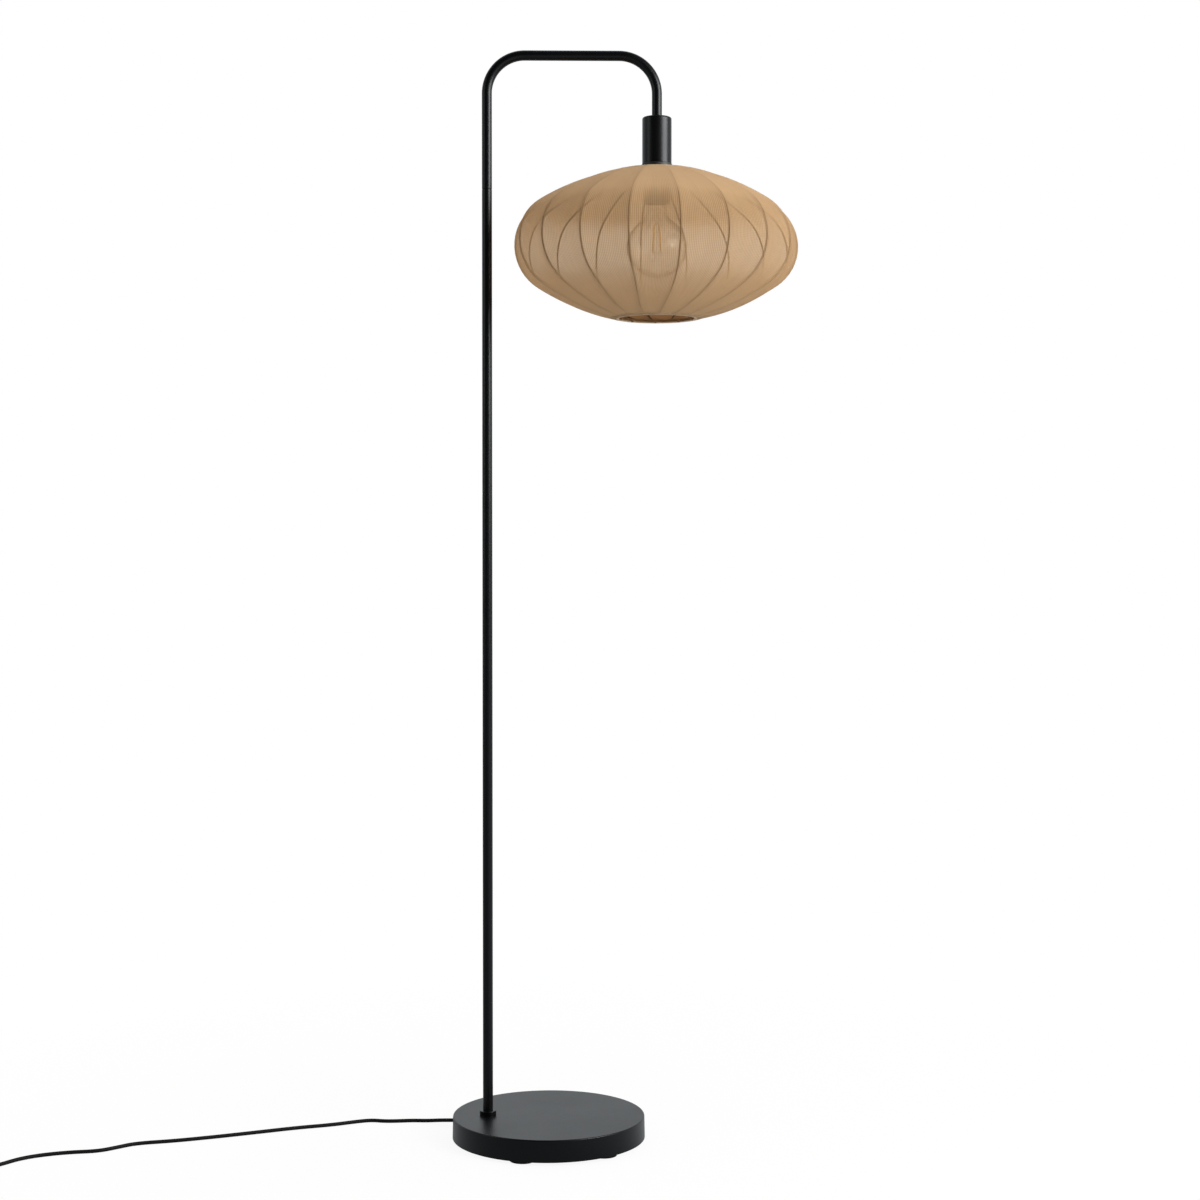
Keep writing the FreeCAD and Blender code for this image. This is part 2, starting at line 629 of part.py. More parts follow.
def build_bulb():
    lean = math.asin((neck_flare_radius + neck_radius) / (neck_flare_radius + globe_radius))

    def glass_edges(inset):
        """Half outline of the globe and neck, set in by the wall."""
        radius = globe_radius - inset
        flare = neck_flare_radius + inset
        centre = V(0, 0, globe_height)
        shoulder = centre + V(math.sin(lean), 0, math.cos(lean)) * radius
        hub = centre + V(math.sin(lean), 0, math.cos(lean)) * (globe_radius + neck_flare_radius)
        side = (math.pi + lean) / 2
        middle = centre + V(math.sin(side), 0, math.cos(side)) * radius
        throat = hub - V(flare, 0, 0)
        flank = (lean - math.pi / 2) / 2
        bend = hub - V(math.cos(flank), 0, -math.sin(flank)) * flare
        return [Part.Arc(centre - up * radius, middle, shoulder).toShape(),
                Part.Arc(shoulder, bend, throat).toShape(),
                Part.LineSegment(throat, V(throat.x, 0, cap_rim + 9.0)).toShape()]

    outer = glass_edges(0.0)
    inner = glass_edges(globe_wall)
    ends = [Part.LineSegment(a.Vertexes[i].Point, b.Vertexes[i].Point).toShape()
            for a, b, i in ((outer[0], inner[0], 0), (outer[2], inner[2], -1))]
    glass_face = Part.Face(Part.Wire(Part.__sortEdges__(outer + inner + ends)))
    nodes["bulb_glass"] = glass_face.revolve(V(0, 0, 0), up, 360).translated(V(arm_x, 0, 0))

    cap_top = cap_rim + cap_height
    cap_bore = cap_radius - cap_wall
    nodes["bulb_cap"] = turned([(cap_bore, cap_rim), (cap_radius, cap_rim), (cap_radius, cap_top - 2.0, 1.0),
                                (9.0, cap_top), (8.0, cap_top), (cap_bore, cap_top - 2.6)], arm_x)
    insulator_top = cap_top + insulator_height
    nodes["bulb_insulator"] = turned([(0, cap_top), (9.0, cap_top), (contact_radius + 0.8, insulator_top),
                                      (0, insulator_top)], arm_x)
    nodes["bulb_contact"] = turned([(0, insulator_top), (contact_radius, insulator_top),
                                    (contact_radius, contact_tip, 1.4), (0, contact_tip)], arm_x)

    # Glass stem, filament sticks on a slight cone and the wires that carry them
    stick_top = globe_height + globe_radius * 0.72
    stick_low = stick_top - filament_length
    stem_top = cap_rim + 8.0
    flare_radius = neck_radius - globe_wall - slip
    tip_radius = stem_radius / 2
    stem_low = stick_top + 4.0
    nodes["bulb_stem"] = turned([(0, stem_low), (tip_radius, stem_low, 1.0), (tip_radius, stem_low + 6.0),
                                 (flare_radius, stem_top - 2.0), (flare_radius, stem_top),
                                 (0, stem_top)], arm_x)
    sticks = []
    leads = []
    pillar = rod(V(0, 0, stick_low - 3.0), V(0, 0, stem_low), lead_radius)
    for k in range(filament_count):
        angle = 360.0 * (k + 0.5) / filament_count
        top = polar(filament_top_spread, angle, stick_top)
        foot = polar(filament_foot_spread, angle, stick_low)
        sticks.append(rod(foot, top, filament_radius))
        leads.append(rod(V(0, 0, stick_top + 3.0), top, lead_radius))
        leads.append(rod(V(0, 0, stick_low - 2.0), foot, lead_radius))
    carrier = pillar.fuse(leads).cut(sticks).cut(nodes["bulb_stem"].translated(V(-arm_x, 0, 0)))
    shift = V(arm_x, 0, 0)
    nodes["bulb_filaments"] = Part.makeCompound([s.translated(shift) for s in sticks])
    nodes["bulb_leads"] = Part.makeCompound([s.translated(shift) for s in carrier.Solids])


def gland_tip():
    return polar(base_radius + base_draft + gland_tail, gland_angle, gland_height)


def build_gland_and_cable():
    skirt_outer = base_radius + base_draft
    skirt_inner = skirt_outer - base_wall
    tail_end = skirt_outer + gland_tail
    bore = cord_radius + slip
    inner_face = skirt_inner - running
    outer_face = skirt_outer + running
    lip_radius = gland_flange_radius - 0.8
    flange_start = inner_face - gland_flange
    gland = along_x(turned([(bore, flange_start), (gland_flange_radius, flange_start, edge_break),
                            (gland_flange_radius, inner_face), (gland_neck_radius, inner_face),
                            (gland_neck_radius, outer_face), (lip_radius, outer_face, 0.4),
                            (lip_radius, outer_face + 1.7, 0.4), (gland_neck_radius, outer_face + 2.3),
                            (cord_radius + 0.8, tail_end), (bore, tail_end)]))
    gland = gland.translated(V(0, 0, gland_height))
    under_plate = Part.makeBox(20, 20, plate_top + running, V(skirt_inner - 20, -10, 0))
    nodes["cord_gland"] = spun(gland.cut(under_plate), gland_angle)

    corner = polar(base_radius - cable_corner_inset, gland_angle, gland_height)
    cable_end = holder_top + 8.0
    route = [gland_tip(), corner, V(pole_x, 0, gland_height), V(pole_x, 0, arm_axis_height),
             V(arm_x, 0, arm_axis_height), V(arm_x, 0, cable_end)]
    bends = [cable_corner_radius, cable_bend, arm_bend_radius, arm_bend_radius]
    cable = piped(rounded_path(route, bends), cord_radius)
    terminal_height = insert_bottom + insert_height + terminal_head_height
    cores = []
    for side in (-1, 1):
        terminal_x = arm_x + side * terminal_offset
        core = rod(V(arm_x + side * 1.2, 0, cable_end), V(terminal_x - side, 0, terminal_height), core_radius)
        head = post(terminal_head_radius + slip, terminal_height - 3, terminal_height, terminal_x)
        cores.append(core.cut(head))
    nodes["inner_cable"] = cable.fuse(cores).removeSplitter()


# Free lead from the gland to the switch, as points chosen by hand from the photograph
cord_height = cord_radius + floor_gap
lead_points = [
    (-146.0, 71.2, 6.4), (-166.0, 80.5, 3.2), (-188.0, 84.5, cord_height), (-207.0, 82.0, cord_height),
    (-226.0, 81.5, cord_height), (-243.5, 87.0, cord_height), (-263.0, 80.5, cord_height),
    (-296.0, 64.0, cord_height), (-340.0, 51.0, cord_height), (-392.0, 29.0, cord_height),
    (-446.0, 7.0, cord_height), (-498.0, -11.5, cord_height), (-545.0, -22.0, cord_height),
    (-566.0, -41.0, cord_height), (-587.0, -57.5, cord_height), (-622.0, -62.0, cord_height),
    (-655.0, -73.5, cord_height), (-680.0, -90.5, cord_height), (-697.0, -115.0, cord_height),
    (-709.5, -131.0, 3.4),
]
lead_end = (-738.6, -144.8, switch_cord_height)
coil_lead_points = [
    (-878.0, -190.5, 4.6), (-893.5, -183.0, 3.9), (-902.5, -169.0, 3.9),
    (-905.2, -152.5, 3.9), (-905.0, -134.0, 3.9),
]


def build_switch():
    half = switch_length / 2
    nose_tip = half + switch_nose_length
    inner_length = switch_length - 2 * switch_wall
    inner_width = switch_width - 2 * switch_wall
    screw_x, screw_y = switch_screw_offset
    screw_places = [(screw_x, screw_y), (-screw_x, -screw_y)]
    ceiling = switch_height - switch_wall

    lower = stadium(switch_length, switch_width, 0, switch_split)
    nose = along_x(turned([(0, half - 6), (nose_radius, half - 6), (nose_radius, half + 2, 1.0),
                           (cord_radius + 0.9, nose_tip), (0, nose_tip)]))
    nose = nose.translated(V(0, 0, switch_cord_height))
    lower = lower.fuse([nose, spun(nose, 180)])
    lower = lower.cut(stadium(inner_length, inner_width, switch_wall, switch_split))
    lower = lower.fuse([post(switch_boss_radius, switch_wall, switch_split, x, y) for x, y in screw_places])
    lower = lower.cut(rod(V(-nose_tip, 0, switch_cord_height), V(nose_tip, 0, switch_cord_height),
                          cord_radius + slip))
    upper = stadium(switch_length, switch_width, switch_split, switch_height)
    rim = [edge for edge in upper.Edges if min(v.Z for v in edge.Vertexes) > switch_height - 0.01]
    upper = upper.makeFillet(switch_round, rim)
    upper = upper.cut(stadium(inner_length, inner_width, switch_split, ceiling - switch_round / 2))
    upper = upper.cut(stadium(inner_length - switch_round, inner_width - switch_round, switch_split, ceiling))
    upper = upper.fuse([post(switch_boss_radius, switch_split, ceiling, x, y) for x, y in screw_places])
    upper = upper.cut(post(button_radius + running, switch_split, switch_height))
    rim_radius = button_radius + button_rim
    upper = upper.cut(post(rim_radius + running, switch_split, ceiling))
    screws = []
    head_low = hairline
    head_top = switch_wall
    screw_top = switch_split + switch_screw_reach
    for x, y in screw_places:
        head_pocket = post(switch_screw_head_radius + running, 0, head_top, x, y)
        lower = lower.cut([head_pocket, post(switch_screw_radius + slip, 0, switch_split, x, y)])
        upper = upper.cut(post(switch_screw_radius + slip, switch_split, screw_top, x, y))
        head = post(switch_screw_head_radius, head_low, head_top, x, y)
        screws.append(head.fuse(post(switch_screw_radius, head_top, screw_top, x, y)))

    button_top = switch_height + button_stand
    flange_high = ceiling - hairline
    flange_low = flange_high - button_flange
    plunger_low = flange_low - plunger_length
    button = turned([(0, plunger_low), (button_plunger_radius, plunger_low, edge_break),
                     (button_plunger_radius, flange_low), (rim_radius, flange_low), (rim_radius, flange_high),
                     (button_radius, flange_high), (button_radius, button_top, 2.0), (0, button_top)])
    block_length, block_width = contact_block
    leaf_rise = button_travel + leaf_pressed_height
    block_top = plunger_low - hairline - leaf_rise
    block = Part.makeBox(block_length, block_width, block_top - switch_wall,
                         V(-block_length / 2, -block_width / 2, switch_wall))
    leads = [rod(V(side * block_length / 2, 0, switch_cord_height), V(side * nose_tip, 0, switch_cord_height),
                 cord_radius) for side in (-1, 1)]
    leaf_width, strip = leaf_strip
    leaf_half = block_length / 2 - 2.0
    arcs = []
    for drop in (0.0, strip):
        arcs.append(Part.Arc(V(-leaf_half + drop, 0, block_top), V(0, 0, block_top + leaf_rise - drop),
                             V(leaf_half - drop, 0, block_top)).toShape())
    feet = [Part.LineSegment(V(side * (leaf_half - strip), 0, block_top),
                             V(side * leaf_half, 0, block_top)).toShape() for side in (-1, 1)]
    leaf = Part.Face(Part.Wire(Part.__sortEdges__(arcs + feet))).extrude(V(0, leaf_width, 0))
    leaf = leaf.translated(V(0, -leaf_width / 2, 0))

    pieces = {"switch_lower_shell": lower, "switch_upper_shell": upper, "switch_button": button,
              "switch_contacts": block, "switch_leads": Part.makeCompound(leads),
              "switch_spring": leaf, "switch_screws": Part.makeCompound(screws)}
    centre = V(*lead_end) + polar(nose_tip, switch_heading)
    for name, shape in pieces.items():
        placed = shape.copy()
        placed.rotate(V(0, 0, 0), up, switch_heading + 180.0)
        nodes[name] = placed.translated(V(centre.x, centre.y, 0))
    return centre + polar(nose_tip, switch_heading)


def coil_path():
    """Half turns spiral in on the floor layer, climb one layer, and spiral out again."""
    centre = V(coil_centre[0], coil_centre[1], 0)
    low_height = tie_thickness + running + cord_radius + floor_gap
    points = []
    for k in range(coil_half_turns_in + coil_half_turns_out + 2):
        climbed = k > coil_half_turns_in
        steps_out = k - coil_half_turns_in - 1 if climbed else coil_half_turns_in - k
        radius = coil_inner_radius + steps_out * coil_pitch / 2
        if steps_out == 0:
            radius -= coil_reverse_inset
        side = -1 if k % 2 == 0 else 1
        height = low_height + (coil_layer_step if climbed else 0.0)
        points.append(centre + V(side * radius, 0, height))
    edges = []
    lead = V(0, 2 * cord_radius, 0)
    edges.append(Part.LineSegment(points[0] - lead, points[0]).toShape())
    for k in range(len(points) - 1):
        span = points[k + 1] - points[k]
        bulge = V(0, 1 if k % 2 == 0 else -1, 0) * (span.Length / 2)
        crest = (points[k] + points[k + 1]) * 0.5 + bulge
        edges.append(Part.Arc(points[k], crest, points[k + 1]).toShape())
    edges.append(Part.LineSegment(points[-1], points[-1] + lead).toShape())
    return Part.Wire(edges), points[0] - lead, points[-1] + lead


def least_gap(path, diameter):
    """Smallest clear distance between two turns, measured on points along the path."""
    samples = path.discretize(Distance=4.0)
    skip = 12
    nearest = min(samples[i].distanceToPoint(samples[j])
                  for i in range(len(samples)) for j in range(i + skip, len(samples)))
    return nearest - diameter


def build_lead():
    switch_exit = build_switch()
    straight = polar(switch_approach, switch_heading)
    switch_entry = V(*lead_end)
    route = [gland_tip()] + [V(*p) for p in lead_points] + [switch_entry - straight, switch_entry]
    nodes["cord_to_switch"] = free_cord("cord_to_switch", route)
    path, coil_start, coil_end = coil_path()
    route = [switch_exit, switch_exit + straight] + [V(*p) for p in coil_lead_points] + [coil_start]
    nodes["cord_to_coil"] = free_cord("cord_to_coil", route)
    coil = piped(path, cord_radius)
    print("coil length", round(path.Length, 1), "volume share",
          round(coil.Volume / (math.pi * cord_radius ** 2 * path.Length), 4),
          "least gap", round(least_gap(path, 2 * cord_radius), 2))
    nodes["cord_coil"] = coil

    # Strap round the bundle on the side away from the leads
    turn_ends = path.Vertexes
    wrap = cord_radius + running
    outer_x = max(v.X for v in turn_ends) + wrap
    eye_radius = coil_inner_radius - coil_reverse_inset - cord_radius
    inner_x = coil_centre[0] + eye_radius - tie_width ** 2 / (8 * eye_radius) - running
    low = min(v.Z for v in turn_ends) - wrap
    high = max(v.Z for v in turn_ends) + wrap
    strap = [(inner_x, low), (outer_x, low), (outer_x, high), (inner_x, high)]
    grow = tie_thickness
    shell = [(inner_x - grow, low - grow, 2.0), (outer_x + grow, low - grow, 2.0),
             (outer_x + grow, high + grow, 2.0), (inner_x - grow, high + grow, 2.0)]
    tie = Part.Face(outline(shell)).cut(Part.Face(outline([(x, z, 1.0) for x, z in strap])))
    nodes["cord_tie"] = tie.extrude(V(0, tie_width, 0)).translated(V(0, coil_centre[1] - tie_width / 2, 0))

    plug_x = coil_end.x
    plug_z = plug_thickness / 2 + hairline
    nose_start = coil_end.y + plug_tail
    third = V(0, plug_tail / 3, 0)
    plug_entry = V(plug_x, nose_start, plug_z)
    route = [coil_end, coil_end + third, plug_entry - third, plug_entry]
    nodes["cord_to_plug"] = free_cord("cord_to_plug", route)
    body_start = nose_start + plug_nose_length
    face = body_start + plug_length
    half_widths = [(plug_rear_width / 2, body_start), (plug_width / 2, body_start + plug_length * 0.5),
                   (plug_width / 2, body_start + plug_length * 0.75), (plug_face_width / 2, face)]
    plan = [V(-w, y, 0) for w, y in half_widths] + [V(w, y, 0) for w, y in reversed(half_widths)]
    body = Part.Face(Part.makePolygon(plan + plan[:1])).extrude(up * plug_thickness)
    body = body.makeFillet(plug_round, body.Edges)
    body = body.translated(V(plug_x, 0, plug_z - plug_thickness / 2))
    relief = turned([(0, 0), (cord_radius + 0.9, 0), (plug_rear_width / 2 - 1.0, plug_nose_length),
                     (plug_rear_width / 2 - 1.0, plug_nose_length + 4.0), (0, plug_nose_length + 4.0)])
    relief.rotate(V(0, 0, 0), V(1, 0, 0), -90)
    body = body.fuse(relief.translated(V(plug_x, nose_start, plug_z))).removeSplitter()
    shank = pin_radius - 0.5
    pins = []
    sleeves = []
    for side in (-1, 1):
        root = V(plug_x + side * pin_spacing / 2, face, plug_z)
        forward = V(0, 1, 0)
        body = body.cut(rod(root - forward * pin_root_length, root + forward, shank))
        shoulder = root + forward * pin_sleeve_length
        core = rod(root - forward * (pin_root_length - slip), shoulder, shank - slip)
        bare = pin_length - pin_sleeve_length
        tip = turned([(0, 0), (pin_radius, 0), (pin_radius, bare, 1.2), (0, bare)])
        tip.rotate(V(0, 0, 0), V(1, 0, 0), -90)
        pins.append(core.fuse(tip.translated(shoulder)))
        sleeves.append(rod(root, shoulder, pin_radius).cut(rod(root, shoulder, shank)))
    nodes["plug_body"] = body
    nodes["plug_pins"] = Part.makeCompound(pins)
    nodes["plug_sleeves"] = Part.makeCompound(sleeves)


build_base()
build_pole()
build_holder()
build_shade()
build_bulb()
build_gland_and_cable()
build_lead()

for name, shape in nodes.items():
    solids = shape.Solids
    sound = shape.isValid() and all(solid.isClosed() for solid in solids)
    if not solids or not sound:
        print("CHECK", name, "solids", len(solids), "valid", shape.isValid())
    shape.exportStep("parts/" + name + ".step")
print(len(nodes), "nodes, top of the lamp at", round(arm_axis_height + tube_radius, 1))
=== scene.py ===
import json
import math

import bpy
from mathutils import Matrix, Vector


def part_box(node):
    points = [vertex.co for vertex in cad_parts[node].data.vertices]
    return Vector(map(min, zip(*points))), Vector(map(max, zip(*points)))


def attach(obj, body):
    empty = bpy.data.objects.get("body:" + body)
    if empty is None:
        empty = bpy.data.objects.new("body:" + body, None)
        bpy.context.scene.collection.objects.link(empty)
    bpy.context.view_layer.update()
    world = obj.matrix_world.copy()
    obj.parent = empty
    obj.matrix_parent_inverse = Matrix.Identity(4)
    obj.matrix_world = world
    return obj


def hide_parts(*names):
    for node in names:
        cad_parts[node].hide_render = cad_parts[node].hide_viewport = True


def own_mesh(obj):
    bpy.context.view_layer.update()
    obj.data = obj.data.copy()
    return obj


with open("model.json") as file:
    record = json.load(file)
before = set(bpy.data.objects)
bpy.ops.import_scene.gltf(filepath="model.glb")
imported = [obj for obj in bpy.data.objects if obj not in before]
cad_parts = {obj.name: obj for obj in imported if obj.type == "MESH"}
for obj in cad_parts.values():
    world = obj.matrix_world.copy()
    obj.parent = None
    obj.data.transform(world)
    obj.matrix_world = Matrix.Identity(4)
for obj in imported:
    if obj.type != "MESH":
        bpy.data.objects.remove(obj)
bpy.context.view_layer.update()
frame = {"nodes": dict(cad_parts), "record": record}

scene = bpy.context.scene
scene.view_settings.view_transform = "Standard"
print("frame loaded with", len(frame["nodes"]), "nodes")


class Wire:  # an output socket; sums on it become Math nodes
    def __init__(self, tree, out):
        self.tree = tree
        self.out = out

    def calc(self, operation, first, second=0.0):
        made = self.tree.nodes.new("ShaderNodeMath")
        made.operation = operation
        for slot, value in zip(made.inputs, (first, second)):
            if isinstance(value, Wire):
                self.tree.links.new(value.out, slot)
            else:
                slot.default_value = value
        return Wire(self.tree, made.outputs[0])

    def __add__(self, other):
        return self.calc("ADD", self, other)

    __radd__ = __add__

    def __sub__(self, other):
        return self.calc("SUBTRACT", self, other)

    def __rsub__(self, other):
        return self.calc("SUBTRACT", other, self)

    def __mul__(self, other):
        return self.calc("MULTIPLY", self, other)

    __rmul__ = __mul__

    def __truediv__(self, other):
        return self.calc("DIVIDE", self, other)

    def __pow__(self, other):
        return self.calc("POWER", self, other)

    def wave(self):  # once up to 1 and down to 0 for each whole number
        return self.calc("SINE", self * (2 * math.pi)) * 0.5 + 0.5

    def upTo(self, most):
        return self.calc("MINIMUM", self, most)

    def atLeast(self, least):
        return self.calc("MAXIMUM", self, least)

    def other(self, name):  # another output of the same node
        return Wire(self.tree, self.out.node.outputs[name])


class Finish:  # a material, or the world, while its nodes are put together
    def __init__(self, owner):
        self.owner = owner
        owner.use_nodes = True
        self.tree = owner.node_tree
        self.tree.nodes.clear()

    def add(self, kind, settings={}, inputs={}, out=0):
        made = self.tree.nodes.new("ShaderNode" + kind)
        for key, value in settings.items():
            setattr(made, key, value)
        for key, value in inputs.items():
            if isinstance(value, Wire):
                self.tree.links.new(value.out, made.inputs[key])
            else:
                made.inputs[key].default_value = value
        return Wire(self.tree, made.outputs[out]) if made.outputs else made

    def place(self):
        return self.add("TexCoord", out="Object")

    def split(self, vector, axis):
        return self.add("SeparateXYZ", {}, {"Vector": vector}, axis)

    def scaled(self, vector, scale):
        return self.add("Mapping", {}, {"Vector": vector, "Scale": scale})

    def mark(self, name):  # a number that the mesh holds at each point
        return self.add("Attribute", {"attribute_name": name}, out="Fac")

    def noise(self, place, scale, detail=2.0, rough=0.5):
        inputs = {"Vector": place, "Scale": scale, "Detail": detail, "Roughness": rough}
        return self.add("TexNoise", {}, inputs)

    def bump(self, height, strength, distance):
        inputs = {"Height": height, "Strength": strength, "Distance": distance}
        return self.add("Bump", {}, inputs)

    def blend(self, share, first, second):  # the numbers are the Mix node's colour sockets
        return self.add("Mix", {"data_type": "RGBA"}, {0: share, 6: first, 7: second}, 2)

    def mix(self, share, first, second):
        return self.add("MixShader", {}, {0: share, 1: first, 2: second})

    def surface(self, inputs):
        return self.add("BsdfPrincipled", {}, inputs)

    def clear(self, colour):
        return self.add("BsdfTransparent", {}, {"Color": colour})

    def glow(self, colour):  # light that comes through from the far side
        return self.add("BsdfTranslucent", {}, {"Color": colour})

    def show(self, shader, kind="OutputMaterial"):
        self.add(kind, {}, {"Surface": shader})
        return self.owner


def newFinish(name):
    return Finish(bpy.data.materials.new(name))


def tone(red, green, blue):  # a screen colour, 0 to 255, as linear numbers by the sRGB rule
    parts = [c / 255 for c in (red, green, blue)]
    linear = [c / 12.92 if c < 0.0405 else ((c + 0.055) / 1.055) ** 2.4 for c in parts]
    return (*linear, 1)


# the camera stands where the photograph was taken
view = {"place": (0.01413, -2.82118, 0.78195), "pitch": 0.0224, "yaw": 0.0192,
        "lens": 63.79, "sensor": 36, "reach": 60}
aim = (math.pi / 2 - view["pitch"], 0, -view["yaw"])
bpy.ops.object.camera_add(location=view["place"], rotation=aim)
camera = bpy.context.object
camera.data.sensor_width = view["sensor"]
camera.data.lens = view["lens"]
camera.data.clip_end = view["reach"]
scene.camera = camera
print("camera placed")

# sizes of the shade come before the finishes, because the knit's finish needs them
shade = {
    "axisX": 0.1435, "equator": 1.18685, "radius": 0.1874,  # upright axis and widest girth
    "bend": 0.065, "swing": 56.8,  # outer arc of the side: its radius, and its degrees each way
    "ring": 0.0512, "top": 1.28275, "low": 1.09315,  # radius and heights of the end rings
    "ribs": 18, "firstRib": -83.4, "rib": 0.0016,  # wire thickness
    "ribShown": 1.3, "ribSides": 10, "ribSteps": 20,  # a little thicker, to show through the cloth
    "cloth": 0.001, "clear": 0.00055, "bow": 0.0024,  # thickness, gap to the ribs, sag between them
    "seam": 96.6, "columns": 8, "rows": 16, "walesPerGore": 26, "coursePitch": 0.0021,
    "hem": 0.00245, "hemGap": 0.0005,
    "fold": 0.0019, "foldDegrees": 215, "foldPull": 3, "foldRows": 12,  # the turn round a ring
    "flap": 0.009, "flapRows": 4, "flapWay": (0.975, 0.222),  # along the ribs, on their inner side
    "roundRows": 4, "paleRows": 5, "darkRows": 6,  # hem rows: to full round, two layers painted lighter at the fold as a highlight, painted shade on the inner turn
    "paintedMouthShade": 0.045,  # how far up from the mouth the inside is painted darker, as shade
    "tilt": 5.0, "steepest": 1.5, "closeTop": 0.5, "closeLow": 0.43,  # loops close near the rings
    "lean": -0.0042, "fuller": 0.0009,  # the real frame is a little out of true
    "rearTurn": -2.3, "twist": -7.0, "twistReach": 0.11}
weave = {
    "waleShare": 0.75, "slub": (0.35, 0.02, 1), "pucker": (0.045, 0.33, 1), "puckerDepth": 2.0,
    # shares of painted shade: in the loops' grooves, along the ribs, and inside near the mouth
    "paintedLoopShadeShare": 0.6, "ribWidth": 0.7, "paintedRibShadow": 0.15, "paintedRibShadowOpen": 0.3, "paintedShadeInside": 0.9,
    "cover": 0.97, "byOpening": 0.42, "byLoop": 0.24, "bySlub": 0.1, "bySlant": 0.45,
    "through": 0.26, "throughOpen": 0.28,  # the share of light from the far side
    # yarn tones: the dark one is the painted shade in the loops' grooves
    "dark": (0.445, 0.284, 0.144, 1), "light": (0.628, 0.418, 0.238, 1),
    # first the colour painted along each rib, for the wire seen through and its contact shadow;
    # then the fold's, lighter as a painted highlight
    "paintedRibShadowColour": (0.20, 0.12, 0.055, 1), "twoLayersAndPaintedHighlight": (0.92, 0.72, 0.50, 1),
    # painted shade: the inner turn's colour, then the inner face's near the mouth
    "paintedTurnShade": (0.23, 0.13, 0.06, 1), "inside": (0.29, 0.16, 0.07, 1),
    "litThrough": (0.80, 0.60, 0.38, 1), "gaps": (0.97, 0.925, 0.855, 1)}


def powderCoat():
    make = newFinish("satinBlackCoat")
    place = make.place()
    peel = make.noise(place, scale=900, detail=3, rough=0.6)
    drift = make.noise(place, scale=14)
    dust = make.noise(place, scale=260, detail=4, rough=0.7)
    return make.show(make.surface({
        "Base Color": make.blend(drift, tone(3, 3, 4), tone(6, 6, 7)),
        "Roughness": 0.30 + drift * 0.06 + dust * 0.05,
        "Specular IOR Level": 0.185, "Specular Tint": (0.96, 0.985, 1.0, 1),
        "Normal": make.bump(peel, strength=0.05, distance=0.0003)}))


def metal(name, dark, light, grain, rough):
    make = newFinish(name)
    place = make.place()
    scratch = make.noise(place, scale=grain, detail=4, rough=0.65)
    cloud = make.noise(place, scale=60, detail=3)
    return make.show(make.surface({
        "Base Color": make.blend(cloud, dark, light), "Metallic": 1.0,
        "Roughness": rough + scratch * 0.18,
        "Normal": make.bump(scratch, strength=0.15, distance=0.0002)}))


def moulded(name, dark, light, rough, shine, grain=1600):
    make = newFinish(name)
    place = make.place()
    texture = make.noise(place, scale=grain, detail=3, rough=0.6)
    cloud = make.noise(place, scale=40, detail=3)
    return make.show(make.surface({
        "Base Color": make.blend(cloud, dark, light), "Roughness": rough + cloud * 0.1,
        "Specular IOR Level": shine,
        "Normal": make.bump(texture, strength=0.18, distance=0.0002)}))


def knit():
    make = newFinish("stretchedKnit")
    rows = make.add("UVMap", {"uv_map": "wales"})
    across = make.split(rows, "X")
    course = across.other("Y").wave()
    loop = across.wave() * weave["waleShare"] + course * (1 - weave["waleShare"])
    slub = make.noise(make.scaled(rows, weave["slub"]), scale=1, detail=3)
    pucker = make.noise(make.scaled(rows, weave["pucker"]), scale=1)
    fromRib = across.calc("PINGPONG", across, shade["walesPerGore"] / 2)  # in wales, 0 over a rib
    onRib = 1 - (fromRib / weave["ribWidth"]).upTo(1.0)
    opened = make.mark("opened")
    # painted shade on the inner face near the mouth, which also lets less light through there
    inside = make.add("NewGeometry", out="Backfacing") * make.mark("paintedMouthShade") * weave["paintedShadeInside"]
    aslant = make.add("LayerWeight", {}, {"Blend": 0.5}, "Facing")
    cover = weave["cover"] - opened * weave["byOpening"] + (loop - 0.5) * weave["byLoop"]
    cover = cover + (slub - 0.5) * weave["bySlub"]
    cover = cover + aslant ** 2 * weave["bySlant"]  # the loops close up seen aslant
    # painted along each rib: partly the wire seen between the loops, partly its painted contact
    # shadow
    paintedRibShadow = onRib * (weave["paintedRibShadow"] + opened * weave["paintedRibShadowOpen"])
    # painted shade: darker in the grooves between the loops, mixed with the yarn's own slubs
    grooveShadeAndSlub = loop * weave["paintedLoopShadeShare"] + slub * (1 - weave["paintedLoopShadeShare"])
    colour = make.blend(grooveShadeAndSlub, weave["dark"], weave["light"])
    colour = make.blend(paintedRibShadow, colour, weave["paintedRibShadowColour"])
    colour = make.blend(make.mark("turned"), colour, weave["twoLayersAndPaintedHighlight"])  # at the hem's fold: two layers, painted lighter as a highlight
    colour = make.blend(make.mark("paintedTurnRows"), colour, weave["paintedTurnShade"])  # painted shade on its inner turn
    colour = make.blend(inside, colour, weave["inside"])  # painted shade: the inner face darker near the mouth
    yarn = make.surface({
        "Base Color": colour, "Roughness": 0.88, "Specular IOR Level": 0.05, "Sheen Weight": 0.03,
        "Normal": make.bump(loop + pucker * weave["puckerDepth"], strength=0.3, distance=0.0004)})
    through = (weave["through"] + opened * weave["throughOpen"]) * (1 - inside)
    cloth = make.mix(through, yarn, make.glow(weave["litThrough"]))
    return make.show(make.mix(cover.upTo(1.0), make.clear(weave["gaps"]), cloth))


